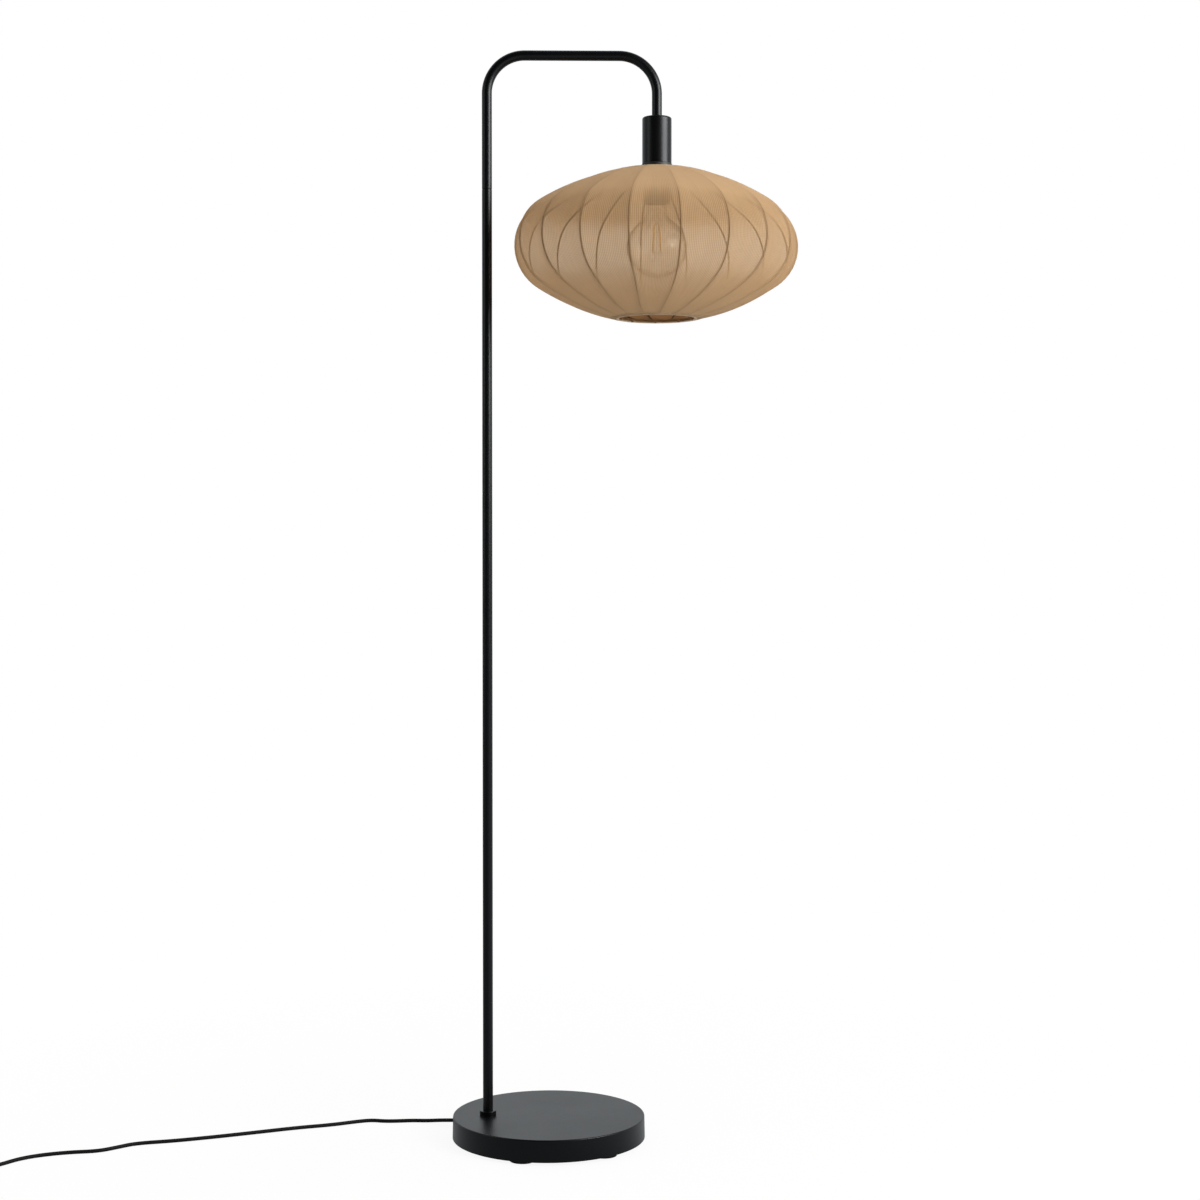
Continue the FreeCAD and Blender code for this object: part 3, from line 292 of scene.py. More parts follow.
def tape():
    make = newFinish("hemTape")
    place = make.place()
    thread = make.noise(place, scale=1500)
    cloud = make.noise(place, scale=90, detail=3)
    yarn = make.surface({
        "Base Color": make.blend(cloud, (0.52, 0.37, 0.22, 1), (0.70, 0.54, 0.36, 1)),
        "Roughness": 0.9, "Specular IOR Level": 0.2,
        "Normal": make.bump(thread, strength=0.35, distance=0.0004)})
    return make.show(make.mix(0.2, yarn, make.glow((0.7, 0.52, 0.33, 1))))


def clearGlass():
    make = newFinish("clearBulbGlass")
    normal = make.bump(make.noise(make.place(), scale=25), strength=0.04, distance=0.001)
    edge = make.add("LayerWeight", {}, {"Blend": 0.5, "Normal": normal}, "Facing")
    edge = edge ** 4  # only close to the outline
    thin = make.clear((0.99, 0.99, 0.985, 1))
    deep = make.clear((0.36, 0.33, 0.29, 1))  # the wall seen edge on
    shine = make.add("BsdfGlossy", {}, {
        "Color": (0.9, 0.9, 0.9, 1), "Roughness": 0.22, "Normal": normal})
    return make.show(make.mix(0.03 + edge * 0.2, make.mix(edge, thin, deep), shine))


def phosphor():
    make = newFinish("filamentPhosphor")
    beads = make.noise(make.place(), scale=700, detail=3)
    return make.show(make.surface({
        "Base Color": make.blend(beads, (0.75, 0.42, 0.05, 1), (0.95, 0.68, 0.16, 1)),
        "Roughness": 0.55 + beads * 0.2,
        "Normal": make.bump(beads, strength=0.2, distance=0.0002)}))


finishes = {
    "black_paint": powderCoat(),
    "iron": metal("rawCasting", tone(60, 60, 62), tone(88, 87, 86), grain=500, rough=0.55),
    "zinc_steel": metal(
        "zincPlate", tone(150, 152, 156), tone(186, 188, 190), grain=400, rough=0.3),
    "rubber_pad": moulded(
        "padRubber", tone(24, 24, 24), tone(38, 38, 38), rough=0.75, shine=0.25, grain=900),
    "holder_plastic": moulded(
        "holderMoulding", tone(20, 20, 21), tone(30, 30, 31), rough=0.5, shine=0.35),
    "pale_insulation": moulded(
        "paleInsulation", tone(196, 192, 182), tone(214, 210, 200), rough=0.5, shine=0.4),
    "brass": metal("plainBrass", tone(178, 140, 72), tone(214, 178, 104), grain=300, rough=0.25),
    "knit_fabric": knit(),
    "hem_tape": tape(),
    "dark_wire": moulded(
        "coatedWire", tone(82, 60, 38), tone(98, 74, 48), rough=0.6, shine=0.2, grain=700),
    "clip_plastic": moulded(
        "clipMoulding", tone(132, 100, 68), tone(152, 118, 82), rough=0.6, shine=0.2),
    "clear_glass": clearGlass(),
    "nickel": metal("nickelPlate", tone(176, 174, 168), tone(206, 204, 198), grain=350, rough=0.22),
    "black_glass": moulded(
        "blackGlass", tone(16, 16, 18), tone(24, 24, 26), rough=0.15, shine=0.5, grain=200),
    "filament_coating": phosphor(),
    "cord_sheath": moulded(
        "leadSheath", tone(9, 9, 9), tone(16, 16, 16), rough=0.6, shine=0.14, grain=1200),
    "black_plastic": moulded(
        "blackMoulding", tone(18, 18, 19), tone(27, 27, 28), rough=0.38, shine=0.45, grain=1800),
}
slotOf = {row["node"]: row["material_slot"] for row in frame["record"]["subparts"]}
bodyOf = {}
for body, members in frame["record"]["behaviour"]["bodies"].items():
    for member in members:
        bodyOf[member] = body
for name, node in frame["nodes"].items():
    node.data.materials.clear()
    node.data.materials.append(finishes[slotOf[name]])
print("finishes on", len(slotOf), "nodes")

# modelling helpers
near = {"point": 1e-6, "level": 1e-5}  # points, or heights, this close are the same
facing = {"up": 0.99, "down": -0.9}  # the upright part of a face's normal


def freshStart():
    if bpy.context.object and bpy.context.object.mode != "OBJECT":
        bpy.ops.object.mode_set(mode="OBJECT")
    bpy.ops.object.select_all(action="DESELECT")


def onlyThis(piece):
    freshStart()
    piece.select_set(True)
    bpy.context.view_layer.objects.active = piece


def everything(spot):
    return True


def topFace(least):  # a test for the one wide face on top
    return lambda face: face.normal.z > facing["up"] and face.area > least


def underFace(face):
    return face.normal.z < facing["down"]


def pick(piece, test, kind="VERT"):  # edit mode, with only what passes the test selected
    onlyThis(piece)
    bpy.ops.object.mode_set(mode="EDIT")
    bpy.ops.mesh.select_mode(type=kind)
    bpy.ops.mesh.select_all(action="DESELECT")
    bpy.ops.object.mode_set(mode="OBJECT")
    points = piece.data.vertices
    if kind == "VERT":
        for point in points:
            point.select = test(point.co)
    elif kind == "EDGE":
        for edge in piece.data.edges:
            edge.select = all(test(points[i].co) for i in edge.vertices)
    else:
        for face in piece.data.polygons:
            face.select = test(face)
    bpy.ops.object.mode_set(mode="EDIT")


def extrude(x, y, z):
    bpy.ops.mesh.extrude_region_move(TRANSFORM_OT_translate={"value": (x, y, z)})


def spin(steps, angle, x, z):  # round an axis that runs front to back
    bpy.ops.mesh.spin(steps=steps, angle=angle, center=(x, 0, z), axis=(0, 1, 0))


def rounded(offset, steps, what="EDGES"):
    bpy.ops.mesh.bevel(offset=offset, segments=steps, affect=what)


def closeUp():  # merges what meets, and turns every face outwards
    bpy.ops.mesh.select_all(action="SELECT")
    bpy.ops.mesh.remove_doubles(threshold=near["point"])
    bpy.ops.mesh.normals_make_consistent(inside=False)


def placeInMesh():
    bpy.ops.object.transform_apply(location=True, rotation=True, scale=True)


def newest(name):  # the primitive just added
    placeInMesh()
    piece = bpy.context.object
    piece.name = name
    return piece


def linked(name, data):
    piece = bpy.data.objects.new(name, data)
    scene.collection.objects.link(piece)
    return piece


def cylinder(name, radius, low, high, centre=(0, 0), sides=96):
    freshStart()
    bpy.ops.mesh.primitive_cylinder_add(
        vertices=sides, radius=radius, depth=high - low, location=(*centre, (low + high) / 2))
    return newest(name)


def circle(name, radius, sides, place, turned=(0, 0, 0)):
    freshStart()
    bpy.ops.mesh.primitive_circle_add(
        vertices=sides, radius=radius, location=place, rotation=turned)
    return newest(name)


def flatPiece(name, place, size, turned=(0, 0, 0)):  # a four-cornered face at its size and place
    freshStart()
    bpy.ops.mesh.primitive_plane_add(size=1, location=place, rotation=turned)
    piece = newest(name)
    pick(piece, everything)
    bpy.ops.transform.resize(value=[v or 1 for v in size], center_override=place)
    return piece


def modified(piece, kind, **settings):
    onlyThis(piece)
    step = piece.modifiers.new(kind, kind)
    for key, value in settings.items():
        setattr(step, key, value)
    bpy.ops.object.modifier_apply(modifier=step.name)


def thicken(piece, thickness, side):
    modified(piece, "SOLIDIFY", thickness=thickness, offset=side)


def settle(piece, angle=35, even=True):  # smooth shading that keeps flat faces flat
    onlyThis(piece)
    bpy.ops.object.shade_smooth_by_angle(angle=math.radians(angle))
    if even:
        modified(piece, "WEIGHTED_NORMAL", keep_sharp=True)


def fit(piece, *nodes):  # the piece takes the place of these nodes
    piece.data.materials.clear()
    piece.data.materials.append(finishes[slotOf[nodes[0]]])
    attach(piece, bodyOf[nodes[0]])
    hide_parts(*nodes)
    return piece


def smoothed(node, name):  # a merged, smooth copy of a node whose shape is right
    freshStart()
    piece = linked(name, frame["nodes"][node].data.copy())
    onlyThis(piece)
    bpy.ops.mesh.customdata_custom_splitnormals_clear()
    bpy.ops.object.mode_set(mode="EDIT")
    bpy.ops.mesh.select_all(action="SELECT")
    bpy.ops.mesh.remove_doubles(threshold=near["point"])
    bpy.ops.object.mode_set(mode="OBJECT")
    settle(piece, angle=32, even=False)
    return fit(piece, node)


def joined(pieces, name):
    freshStart()
    for piece in pieces:
        piece.select_set(True)
    bpy.context.view_layer.objects.active = pieces[0]
    placeInMesh()
    bpy.ops.object.join()
    pieces[0].name = name
    return pieces[0]


def ringOf(piece, name, count, first, centreX=0.0):  # copies round an upright axis, joined
    copies = []
    for k in range(count):
        copy = linked(name, piece.data.copy())
        copy.rotation_euler = (0, 0, math.radians(first + 360 / count * k))
        copy.location = (centreX, 0, 0)
        copies.append(copy)
    bpy.data.objects.remove(piece)
    return joined(copies, name)


base = {"radius": 0.1275, "draft": 0.0006, "low": 0.004, "top": 0.0327, "wall": 0.0012,
        "edge": 0.0016, "edgeSteps": 6, "inset": 0.001, "topArea": 0.01, "sides": 192}


def makeBase():  # a pressed cover, open below
    low, top = base["low"], base["top"]
    cover = cylinder("baseCover", base["radius"], low, top, sides=base["sides"])
    middle = (low + top) / 2
    grow = 1 + base["draft"] / base["radius"]
    pick(cover, lambda p: p.z < middle)
    bpy.ops.transform.resize(value=(grow, grow, 1), center_override=(0, 0, low))
    pick(cover, underFace, "FACE")
    bpy.ops.mesh.delete(type="FACE")
    pick(cover, lambda p: p.z > middle, "EDGE")
    rounded(base["edge"], base["edgeSteps"])
    pick(cover, topFace(base["topArea"]), "FACE")
    bpy.ops.mesh.inset(thickness=base["inset"])
    thicken(cover, base["wall"], -1)
    settle(cover)
    fit(cover, "base_cover")


pads = {"radius": 0.017, "height": 0.004, "round": 0.001, "roundSteps": 4, "sides": 48,
        "pitch": 0.1075, "count": 6, "first": -108}


def makePads():
    spot = (pads["pitch"], 0)
    pad = cylinder("basePad", pads["radius"], 0, pads["height"], spot, pads["sides"])
    pick(pad, lambda p: p.z < pads["height"] / 2, "EDGE")
    rounded(pads["round"], pads["roundSteps"])
    bpy.ops.object.mode_set(mode="OBJECT")
    ring = ringOf(pad, "basePads", pads["count"], pads["first"])
    settle(ring)
    fit(ring, "base_feet")


makeBase()
makePads()
print("base made")

pole = {"x": -0.081, "radius": 0.00665, "low": 0.0327, "seams": (0.8592, 1.2609), "axis": 1.4371,
        "bend": 0.050, "bendSteps": 28, "armX": 0.1435, "end": 1.3564,
        "chamfer": 0.0006, "chamferSteps": 2, "sides": 64}


def makeTube(name, low, high, node, ends):
    tube = cylinder(name, pole["radius"], low, high, (pole["x"], 0), pole["sides"])
    for end in ends:
        pick(tube, lambda p: abs(p.z - end) < near["level"], "EDGE")
        rounded(pole["chamfer"], pole["chamferSteps"])
    settle(tube)
    fit(tube, node)


def makeArm():  # drawn up from the seam, over both bends and down into the cup
    low = pole["seams"][1]
    rise = pole["axis"] - pole["bend"]
    slim = pole["radius"] - pole["chamfer"]
    grow = pole["radius"] / slim
    arm = circle("armTube", slim, pole["sides"], (pole["x"], 0, low))
    pick(arm, everything)
    extrude(0, 0, pole["chamfer"])
    bpy.ops.transform.resize(value=(grow, grow, 1), center_override=(pole["x"], 0, low))
    extrude(0, 0, rise - low - pole["chamfer"])
    spin(pole["bendSteps"], -math.pi / 2, pole["x"] + pole["bend"], rise)
    extrude(pole["armX"] - pole["x"] - 2 * pole["bend"], 0, 0)
    spin(pole["bendSteps"], -math.pi / 2, pole["armX"] - pole["bend"], rise)
    extrude(0, 0, pole["end"] - rise)
    closeUp()
    settle(arm, angle=40, even=False)
    fit(arm, "arm_tube")


cup = {"radius": 0.0194, "low": 1.2954, "top": 1.3564, "wall": 0.001, "depth": 0.05,
       "round": 0.0026, "roundSteps": 7, "inset": 0.001, "topArea": 2e-4}


def makeCup():
    body = cylinder("holderCup", cup["radius"], cup["low"], cup["top"], (pole["armX"], 0))
    middle = (cup["low"] + cup["top"]) / 2
    pick(body, lambda p: p.z > middle, "EDGE")
    rounded(cup["round"], cup["roundSteps"])
    pick(body, topFace(cup["topArea"]), "FACE")
    bpy.ops.mesh.inset(thickness=cup["inset"])
    pick(body, underFace, "FACE")
    bpy.ops.mesh.inset(thickness=cup["wall"])
    extrude(0, 0, cup["depth"])
    settle(body)
    fit(body, "holder_cup")


collar = {"radius": 0.011, "height": 0.006, "round": 0.0008, "roundSteps": 4, "gap": 5e-5,
          "topArea": 1e-4, "sides": 72}


def makeCollar():
    low, middle = pole["low"], pole["low"] + collar["height"] / 2
    ring = cylinder("poleCollar", collar["radius"], low, low + collar["height"],
                    (pole["x"], 0), collar["sides"])
    pick(ring, lambda p: p.z > middle, "EDGE")
    rounded(collar["round"], collar["roundSteps"])
    pick(ring, topFace(collar["topArea"]), "FACE")
    flat = collar["radius"] - collar["round"]
    bpy.ops.mesh.inset(thickness=flat - pole["radius"] - collar["gap"])
    extrude(0, 0, -collar["height"] / 2)
    settle(ring)
    fit(ring, "pole_collar")


makeTube("lowerPole", pole["low"], pole["seams"][0], "lower_pole_tube", pole["seams"][:1])
makeTube("upperPole", *pole["seams"], "upper_pole_tube", pole["seams"])
makeArm()
makeCup()
makeCollar()
print("pole, arm and cup made")

# the shade: one side curve gives the ribs, the knit and the stitches
halfGore = math.pi / shade["ribs"]
columns = shade["ribs"] * shade["columns"]
wide = columns + 1  # points in a row of the knit, whose two edges meet at the seam


def sideArcs(widest, bend, end, top, low):  # three tangent arcs, lower end first
    hub = Vector((widest - bend, shade["equator"]))
    swing = math.radians(shade["swing"])
    arcs = [(hub, bend, -swing, swing)]
    for side, height in ((1, top), (-1, low)):
        normal = Vector((math.cos(swing), side * math.sin(swing)))
        joint = hub + normal * bend
        chord = Vector((end, height)) - joint
        radius = -chord.dot(chord) / (2 * chord.dot(normal))
        middle = joint - normal * radius
        last = math.atan2(height - middle.y, end - middle.x)
        if side > 0:
            arcs.append((middle, radius, swing, last))
        else:
            arcs.insert(0, (middle, radius, last, -swing))
    return arcs


def onArc(hub, radius, angle):
    return Vector((hub[0] + radius * math.cos(angle), hub[1] + radius * math.sin(angle)))


def knitSide():  # the cloth's line down the middle of a gore, as (radius, height), lower end first
    stand = shade["rib"] / 2 + shade["clear"] + shade["cloth"] / 2
    end = shade["ring"] + shade["hem"] + shade["hemGap"]
    widest = shade["radius"] * math.cos(halfGore) - shade["cloth"] / 2
    top, low = shade["top"] + stand, shade["low"] - stand
    arcs = sideArcs(widest, shade["bend"], end, top, low)
    points = []
    for number, (hub, radius, start, finish) in enumerate(arcs):
        last = number == len(arcs) - 1
        for k in range(shade["rows"] + last):
            points.append(onArc(hub, radius, start + (finish - start) * k / shade["rows"]))
    return points


def overHem(height, side, reach):  # from the panel's end: the turn round the ring, then the flap
    ring = (shade["ring"], height)
    start = math.atan2(reach.y - height, reach.x - shade["ring"])
    far = (reach - Vector(ring)).length
    points = []
    for k in range(1, shade["foldRows"] + 1):
        share = k / shade["foldRows"]
        radius = far + (shade["fold"] - far) * min(1, shade["foldPull"] * share)
        angle = start + side * math.radians(shade["foldDegrees"]) * share
        points.append(onArc(ring, radius, angle))
    folded = points[-1]
    way = Vector((shade["flapWay"][0], -side * shade["flapWay"][1]))
    for k in range(1, shade["flapRows"] + 1):
        points.append(folded + way * shade["flap"] * k / shade["flapRows"])
    return points


def leaned(point):  # the stretched cloth pulls the frame a little out of true between its rings
    share = min(1.0, max(0.0, (point[2] - shade["low"]) / (shade["top"] - shade["low"])))
    x, y = point[0] - shade["axisX"], point[1]
    far = math.hypot(x, y)
    grow = 1 + shade["fuller"] * math.sin(math.pi * share) / far
    shift = shade["lean"] * math.sin(math.pi * share ** 3) * (x / far) ** 2
    fromRing = (far - shade["ring"]) / shade["twistReach"]
    twisted = min(1.0, max(0.0, 1 - fromRing)) ** 2 * (share < 0.5)  # only the lower half
    behind = (1 + y / far) / 2 * math.sin(math.pi * share)
    turn = math.radians(shade["twist"] * twisted + shade["rearTurn"] * behind)
    turnedX = x * math.cos(turn) - y * math.sin(turn)
    turnedY = x * math.sin(turn) + y * math.cos(turn)
    return (shade["axisX"] + turnedX * grow + shift, turnedY * grow, point[2])


def leanedMesh(piece):
    for point in piece.data.vertices:
        point.co = leaned(point.co)


def makeRibs():
    flat = math.cos(halfGore)
    relief = shade["rib"] / 2 * math.sin(halfGore)
    outer = (shade["radius"] * flat - shade["cloth"] - relief - shade["clear"]) / flat
    bend = (shade["bend"] - shade["cloth"] / 2 - shade["clear"]) * flat - shade["rib"] / 2
    arcs = sideArcs(outer - shade["rib"] / 2, bend, shade["ring"], shade["top"], shade["low"])
    hub, radius, start, finish = arcs[0]
    foot = onArc(hub, radius, start)
    rib = circle("rib", shade["rib"] / 2 * shade["ribShown"], shade["ribSides"],
                 (foot.x, 0, foot.y), (0, -start, 0))
    pick(rib, everything)
    for hub, radius, start, finish in arcs:
        spin(shade["ribSteps"], finish - start, hub.x, hub.y)
    closeUp()
    bpy.ops.object.mode_set(mode="OBJECT")
    ribs = ringOf(rib, "shadeRibs", shade["ribs"], shade["firstRib"], shade["axisX"])
    leanedMesh(ribs)
    settle(ribs, angle=60, even=False)
    fit(ribs, "shade_ribs")


stitches = {"radius": 0.0003, "length": 0.0034, "thickShare": 0.6, "tip": 0.4, "perGore": 5,
            "fromEnd": 0.0045, "proud": 0.0001, "sides": 8}


def oneStitch():  # a short thread, drawn thin where it goes into the cloth
    end = stitches["length"] / 2
    thick = end * stitches["thickShare"]
    stitch = cylinder("stitch", stitches["radius"], -thick, thick, sides=stitches["sides"])
    for way in (1, -1):
        pick(stitch, lambda face: face.normal.z * way > -facing["down"], "FACE")
        extrude(0, 0, way * (end - thick))
        bpy.ops.transform.resize(value=(stitches["tip"], stitches["tip"], 1),
                                 center_override=(0, 0, way * end))
    bpy.ops.object.mode_set(mode="OBJECT")
    return stitch


def makeStitches():  # a row of thread through both layers of each hem
    stitch = oneStitch()
    count = stitches["perGore"]
    middleOfGore = shade["firstRib"] + 180 / shade["ribs"]
    rows = []
    for name, side, out in (("lowStitches", knitSide(), -1), ("topStitches", knitSide()[::-1], 1)):
        ahead = stitches["fromEnd"]
        for before, after in zip(side, side[1:]):
            way = after - before
            if ahead <= way.length:
                break
            ahead -= way.length
        way.normalize()
        place = before + way * ahead + Vector((-way.y, way.x)) * out * stitches["proud"]
        gore = []
        for k in range(count):
            turn = ((k + 0.5) / count * 2 - 1) * halfGore
            copy = linked(name, stitch.data.copy())
            copy.rotation_euler = (math.pi / 2, 0, 0)
            copy.location = (place.x, place.x * math.tan(turn), place.y)
            gore.append(copy)
        row = ringOf(joined(gore, name), name, shade["ribs"], middleOfGore, shade["axisX"])
        leanedMesh(row)
        settle(row, angle=60, even=False)
        row.data.materials.append(finishes["hem_tape"])
        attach(row, bodyOf["shade_fabric"])
        rows.append(row)
    bpy.data.objects.remove(stitch)
    return rows


def loopGap(line, row):  # how open the loops look: 1 seen square on, 0 closed up
    before, after = line[max(0, row - 1)], line[min(len(line) - 1, row + 1)]
    slope = math.atan2(before.x - after.x, after.y - before.y) + math.radians(shade["tilt"])
    closing = shade["closeLow"] if line[row].y < shade["equator"] else shade["closeTop"]
    return max(0.0, 1 - closing * math.tan(min(abs(slope), shade["steepest"])))


def knitPoints(line):
    widest = max(p.x for p in line)
    points, marks = [], {"opened": [], "turned": [], "paintedTurnRows": [], "paintedMouthShade": []}
    for row, spot in enumerate(line):
        fromEnd = min(row, len(line) - 1 - row)
        inHem = shade["foldRows"] + shade["flapRows"] - fromEnd  # rows into a hem, from the panel
        facets = 1 - min(1.0, max(0.0, inHem / shade["roundRows"]))  # flat panels, round hems
        hollow = shade["bow"] * max(0.0, (spot.x - shade["ring"]) / (widest - shade["ring"]))
        upFromMouth = max(0.0, spot.y - shade["low"]) / shade["paintedMouthShade"]
        for column in range(wide):
            share = column % shade["columns"] / shade["columns"] * 2 - 1  # 0 between two ribs
            turn = math.radians(shade["seam"]) + 2 * math.pi * column / columns
            crease = 1 + facets * (1 / math.cos(share * halfGore) - 1)
            radius = spot.x * crease - hollow * (1 - share * share)
            x, y = shade["axisX"] + radius * math.cos(turn), radius * math.sin(turn)
            points.append(leaned((x, y, spot.y)))
        marks["opened"] += [0.0 if inHem > 0 else loopGap(line, row)] * wide
        marks["turned"] += [float(0 < inHem <= shade["paleRows"])] * wide
        marks["paintedTurnRows"] += [float(inHem > shade["darkRows"])] * wide
        marks["paintedMouthShade"] += [max(0.0, 1 - upFromMouth) ** 0.5] * wide
    return points, marks


def knitFaces(down):  # each face, and the wale and course at its corners
    faces, wales = [], []
    for row in range(len(down) - 1):
        for column in range(columns):
            here = row * wide + column
            faces.append((here, here + 1, here + wide + 1, here + wide))
            for c, r in ((0, 0), (1, 0), (1, 1), (0, 1)):
                wale = (column + c) / shade["columns"] * shade["walesPerGore"]
                wales.append((wale, down[row + r] / shade["coursePitch"]))
    return faces, wales


def makeKnit(hemRows):  # one skin from flap to flap
    side = knitSide()
    line = overHem(shade["low"], -1, side[0])[::-1] + side + overHem(shade["top"], 1, side[-1])
    down = [0.0]
    for before, after in zip(line, line[1:]):
        down.append(down[-1] + (after - before).length)
    points, marks = knitPoints(line)
    faces, wales = knitFaces(down)
    mesh = bpy.data.meshes.new("shadeKnit")
    mesh.from_pydata(points, [], faces)
    for loop, place in zip(mesh.uv_layers.new(name="wales").data, wales):
        loop.uv = place
    for name, values in marks.items():
        mesh.attributes.new(name, "FLOAT", "POINT").data.foreach_set("value", values)
    for edge in mesh.edges:  # each gore is its own flat panel, so the rib lines stay crisp
        left, right = (v % wide for v in edge.vertices)
        edge.use_edge_sharp = left == right and left % shade["columns"] == 0
    mesh.polygons.foreach_set("use_smooth", [True] * len(mesh.polygons))
    cloth = fit(linked("shadeKnit", mesh), "shade_fabric", "shade_top_hem", "shade_bottom_hem")


clips = {"radius": 0.0017, "outer": 0.0496, "inner": 0.0462, "drop": 0.001, "round": 0.0006,
         "roundSteps": 3, "sides": 20, "count": 9, "first": -103.4 + shade["twist"]}


def makeClips():  # every second rib is held to the inside of the lower ring
    inner, outer = clips["inner"], clips["outer"]
    clip = cylinder("ribClip", clips["radius"], inner, outer, sides=clips["sides"])
    pick(clip, lambda p: min(abs(p.z - inner), abs(p.z - outer)) < near["level"], "EDGE")
    rounded(clips["round"], clips["roundSteps"])
    onlyThis(clip)
    clip.rotation_euler = (0, math.pi / 2, 0)
    clip.location = (0, 0, shade["low"] - clips["drop"])
    placeInMesh()
    ring = ringOf(clip, "ribClips", clips["count"], clips["first"], shade["axisX"])
    settle(ring, angle=50, even=False)
    fit(ring, "rib_clips")


makeRibs()
makeKnit(makeStitches())
makeClips()
for node, name in (("shade_top_ring", "topRing"), ("shade_bottom_ring", "lowRing"),
                   ("shade_fitter", "shadeFitter"), ("shade_ring_nut", "ringNut"),
                   ("holder_shell", "holderShell")):
    smoothed(node, name)
print("shade made")

for node, name in (("bulb_glass", "bulbGlass"), ("bulb_cap", "bulbCap"), ("bulb_stem", "bulbStem"),
                   ("bulb_filaments", "bulbSticks")):
    smoothed(node, name)
print("bulb made")

lead = {
    "width": 0.005, "roundSteps": 5, "runSteps": 8, "heading": -160, "approach": 0.014,
    "toSwitch": 0.6765, "toPlug": 1.265, "inSwitch": 0.045,  # lengths, and the ends in the switch
    "gland": (0.1436, 154, 0.0084),  # radius, degrees and height
    "switchIn": (-0.7386, -0.1448, 0.006), "switchHalf": 0.058,
    "plugEntry": (-0.9078, -0.0590, 0.0070), "plugTail": 0.046,
    "floorRoute": [
        (-0.1460, 0.0712, 0.0064), (-0.1660, 0.0805, 0.0032), (-0.1880, 0.0845, 0.0026),
        (-0.2070, 0.0820, 0.0026), (-0.2260, 0.0815, 0.0026), (-0.2435, 0.0870, 0.0026),
        (-0.2630, 0.0805, 0.0026), (-0.2960, 0.0640, 0.0026), (-0.3400, 0.0510, 0.0026),
        (-0.3920, 0.0290, 0.0026), (-0.4460, 0.0070, 0.0026), (-0.4980, -0.0115, 0.0026),
        (-0.5450, -0.0220, 0.0026), (-0.5660, -0.0410, 0.0026), (-0.5870, -0.0575, 0.0026),
        (-0.6220, -0.0620, 0.0026), (-0.6550, -0.0735, 0.0026), (-0.6800, -0.0905, 0.0026),
        (-0.6970, -0.1150, 0.0026), (-0.7095, -0.1310, 0.0034)],
    "coilRoute": [
        (-0.8780, -0.1905, 0.0046), (-0.8935, -0.1830, 0.0039), (-0.9025, -0.1690, 0.0039),
        (-0.9052, -0.1525, 0.0039), (-0.9050, -0.1340, 0.0039)]}


def polar(radius, degrees, height=0.0):
    turn = math.radians(degrees)
    return Vector((radius * math.cos(turn), radius * math.sin(turn), height))


def makeLead(name, points, nodes):
    curve = bpy.data.curves.new(name, "CURVE")
    curve.dimensions = "3D"
    curve.bevel_depth = lead["width"] / 2
    curve.bevel_resolution = lead["roundSteps"]
    curve.resolution_u = lead["runSteps"]
    curve.use_fill_caps = True
    line = curve.splines.new("NURBS")
    line.points.add(len(points) - 1)
    for spot, place in zip(line.points, points):
        spot.co = (*place, 1)
    line.order_u = 3
    line.use_endpoint_u = True
    return fit(linked(name, curve), *nodes)


coil = {"centre": (-0.869, -0.110), "inner": 0.022, "inset": 0.0012, "pitch": 0.0056,
        "step": 0.0056, "low": 0.0039, "turnsIn": 5, "turnsOut": 6, "points": 7}


def coilPoints():  # half turns that wind inwards on the floor, climb, and wind out again on top
    ends = []
    for k in range(coil["turnsIn"] + coil["turnsOut"] + 2):
        climbed = k > coil["turnsIn"]
        out = k - coil["turnsIn"] - 1 if climbed else coil["turnsIn"] - k
        radius = coil["inner"] + out * coil["pitch"] / 2 - (coil["inset"] if out == 0 else 0)
        height = coil["low"] + (coil["step"] if climbed else 0)
        ends.append((radius if k % 2 else -radius, height))
    points = []
    half = math.pi / coil["points"] / 2
    for k, ((startX, startZ), (endX, endZ)) in enumerate(zip(ends, ends[1:])):
        middle = (startX + endX) / 2
        radius = abs(endX - startX) / 2 / math.cos(half)  # the spline runs inside its points
        side = 1 if k % 2 == 0 else -1
        for j in range(coil["points"]):
            share = (j + 0.5) / coil["points"]
            swing = math.pi * share
            points.append(Vector((
                coil["centre"][0] + middle - side * radius * math.cos(swing),
                coil["centre"][1] + side * radius * math.sin(swing),
                startZ + (endZ - startZ) * share)))
    return points


tie = {"thick": 0.001, "corner": 0.0028, "edge": 0.0003, "edgeSteps": 2, "roundSteps": 6,
       "tail": 0.011, "tailThick": 0.0008, "tailRound": 0.003, "tailNarrower": 0.0006}


def makeTie():  # a soft strap round the coil, its free end laid back over the top
    low, high = (Vector(corner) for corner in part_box("cord_tie"))
    middle, size = (low + high) / 2, high - low
    strap = flatPiece("leadTie", (middle.x, low.y, middle.z), (size.x, 0, size.z),
                      (math.pi / 2, 0, 0))
    pick(strap, everything)
    bpy.ops.mesh.delete(type="ONLY_FACE")
    pick(strap, everything)
    rounded(tie["corner"], tie["roundSteps"], "VERTICES")
    pick(strap, everything)
    extrude(0, size.y, 0)
    bpy.ops.mesh.select_all(action="SELECT")
    bpy.ops.mesh.normals_make_consistent(inside=False)
    thicken(strap, tie["thick"], -1)
    end = flatPiece("tieEnd", (middle.x, middle.y, high.z),
                    (tie["tail"], size.y - tie["tailNarrower"], 0))
    pick(end, lambda p: p.x < middle.x)
    rounded(tie["tailRound"], tie["roundSteps"], "VERTICES")
    thicken(end, tie["tailThick"], 1)
    strap = joined([strap, end], "leadTie")
    modified(strap, "BEVEL", width=tie["edge"], segments=tie["edgeSteps"])
    settle(strap)
    return fit(strap, "cord_tie")


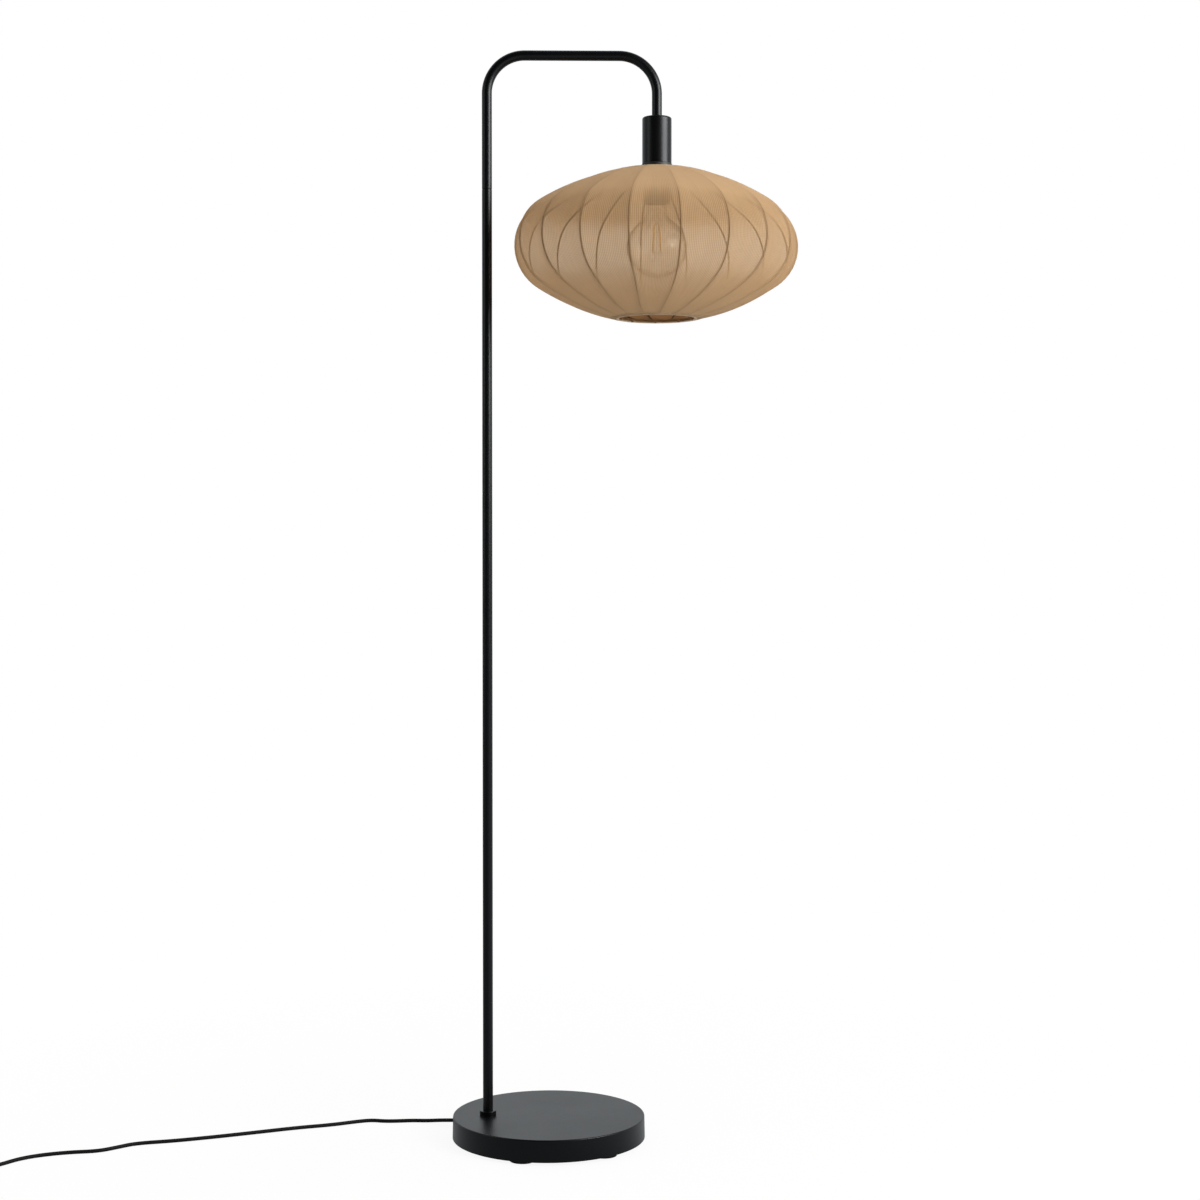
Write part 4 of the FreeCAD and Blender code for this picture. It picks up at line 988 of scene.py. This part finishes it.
gland = polar(*lead["gland"])
straight = polar(lead["approach"], lead["heading"])
inside = polar(lead["inSwitch"], lead["heading"])
switchIn = Vector(lead["switchIn"])
switchOut = switchIn + polar(2 * lead["switchHalf"], lead["heading"])
plugEntry = Vector(lead["plugEntry"])
coilEnd = Vector((plugEntry.x, plugEntry.y - lead["plugTail"], coil["low"] + coil["step"]))
third = Vector((0, lead["plugTail"] / 3, 0))
firstRun = [gland, *map(Vector, lead["floorRoute"]),
            switchIn - straight, switchIn, switchIn + inside]
secondRun = [switchOut - inside, switchOut, switchOut + straight,
             *map(Vector, lead["coilRoute"]), *coilPoints(),
             coilEnd + third, plugEntry - third, plugEntry]
leadIn = makeLead("leadToSwitch", firstRun, ["cord_to_switch", "switch_leads"])
leadOut = makeLead("leadToPlug", secondRun, ["cord_to_coil", "cord_coil", "cord_to_plug"])
onLead = {node: smoothed(node, name) for node, name in (
    ("switch_lower_shell", "switchLower"), ("switch_upper_shell", "switchUpper"),
    ("switch_button", "switchButton"), ("plug_body", "plugBody"), ("plug_sleeves", "plugSleeves"),
    ("plug_pins", "plugPins"), ("cord_gland", "leadGland"), ("switch_spring", "switchSpring"))}
onLead["cord_tie"] = makeTie()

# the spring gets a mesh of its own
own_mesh(onLead["switch_spring"])


print("mains lead made")

# lamps only light, and cards only show in gloss
lamps = {
    "key": {"place": (1.95, -1.6, 1.58), "aim": (0.1, 0, 1.1), "size": (1.5, 1.5), "watts": 65},
    "fill": {"place": (-2.3, -0.9, 1.5), "aim": (0.1, 0, 1.1), "size": (0.9, 1.6), "watts": 5},
    "top": {"place": (0.3, 0.4, 3.4), "aim": (0.1, 0, 0.8), "size": (2.4, 2.4), "watts": 36}}
cards = {
    "rightCard": {"place": (2.16, -1.05, 1.9), "aim": (0.1, 0, 1.5), "size": (1.7, 1.4),
                  "watts": 145},
    "leftCard": {"place": (-2.25, -0.82, 1.6), "aim": (0, 0, 1.3), "size": (0.9, 1.6),
                 "watts": 12}}
room = {
    "white": (1, 1, 1, 1), "glossTint": (0.915, 0.965, 1.0, 1),
    "front": 0.15, "back": 0.58, "frontShine": 0.045, "wallFrom": -0.35, "wallFade": 0.9,
    "floor": 0.55, "floorSeen": 0.97, "floorSize": 16, "floorDrop": 0.0002,
    # in gloss the floor is dimmer, and painted light brightens it towards the key lamp's side
    "floorShine": 0.55, "rightFrom": 0.05, "rightFade": 0.25, "paperNear": 0.9, "paperFade": 1.1}


def addLamp(name, lamp, card):
    freshStart()
    way = Vector(lamp["aim"]) - Vector(lamp["place"])
    bpy.ops.object.light_add(type="AREA", location=lamp["place"],
                             rotation=way.to_track_quat("-Z", "Y").to_euler())
    light = bpy.context.object
    light.name = name
    light.data.shape = "RECTANGLE"
    light.data.size, light.data.size_y = lamp["size"]
    light.data.energy = lamp["watts"]
    light.visible_camera = False
    light.visible_glossy = card
    light.visible_diffuse = not card


def grey(level):
    return (level, level, level, 1)


def makeSky():  # white to the camera; in light and gloss, a white wall behind the lamp
    sky = Finish(bpy.data.worlds.new("whiteStudio"))
    rays = sky.add("LightPath", out="Is Camera Ray")
    seen = rays.atLeast(rays.other("Is Transmission Ray"))
    gloss = rays.other("Is Glossy Ray")
    behind = sky.split(sky.add("TexCoord", out="Generated"), "Y")
    behind = ((behind - room["wallFrom"]) / room["wallFade"]).upTo(1.0).atLeast(0.0)
    shine = room["frontShine"] + behind * (1 - room["frontShine"])
    soft = room["front"] + behind * (room["back"] - room["front"])
    strength = seen + (1 - seen) * (gloss * shine + (1 - gloss) * soft)
    colour = sky.blend(gloss, room["white"], room["glossTint"])  # the coat mirrors it cooler
    light = sky.add("Background", {}, {"Color": colour, "Strength": strength})
    scene.world = sky.show(light, "OutputWorld")


def makeFloor():  # white paper to the camera, with a faint shadow near the lamp; in gloss dimmer, with painted light on the key lamp's side
    freshStart()
    bpy.ops.mesh.primitive_plane_add(size=room["floorSize"], location=(0, 0, -room["floorDrop"]))
    floor = bpy.context.object
    floor.name = "studioFloor"
    make = newFinish("paleFloor")
    rays = make.add("LightPath", out="Is Camera Ray")
    gloss = rays.other("Is Glossy Ray")
    seen = rays.atLeast(gloss).atLeast(rays.other("Is Transmission Ray"))
    place = make.place()
    far = make.add("VectorMath", {"operation": "LENGTH"}, {0: place}, "Value")
    fade = (far / room["paperFade"]).upTo(1.0)
    right = (make.split(place, "X") - room["rightFrom"]) / room["rightFade"]
    right = right.upTo(1.0).atLeast(0.0)  # painted light: in gloss the floor is brightest on the key lamp's side
    mirrored = room["floorShine"] + right * (1 - room["floorShine"])
    colour = make.blend(gloss, room["white"], room["glossTint"])
    paper = make.add("Emission", {}, {"Color": colour, "Strength": 1 - gloss * (1 - mirrored)})
    matt = make.add("BsdfDiffuse", {}, {"Color": grey(room["floor"])})
    pale = make.add("BsdfDiffuse", {}, {"Color": grey(room["floorSeen"])})  # takes the shadow
    shown = make.mix(room["paperNear"] + fade * (1 - room["paperNear"]), pale, paper)
    floor.data.materials.append(make.show(make.mix(seen, matt, shown)))


for group, card in ((lamps, False), (cards, True)):
    for name, lamp in group.items():
        addLamp(name, lamp, card)
makeSky()
makeFloor()
print("studio lit")
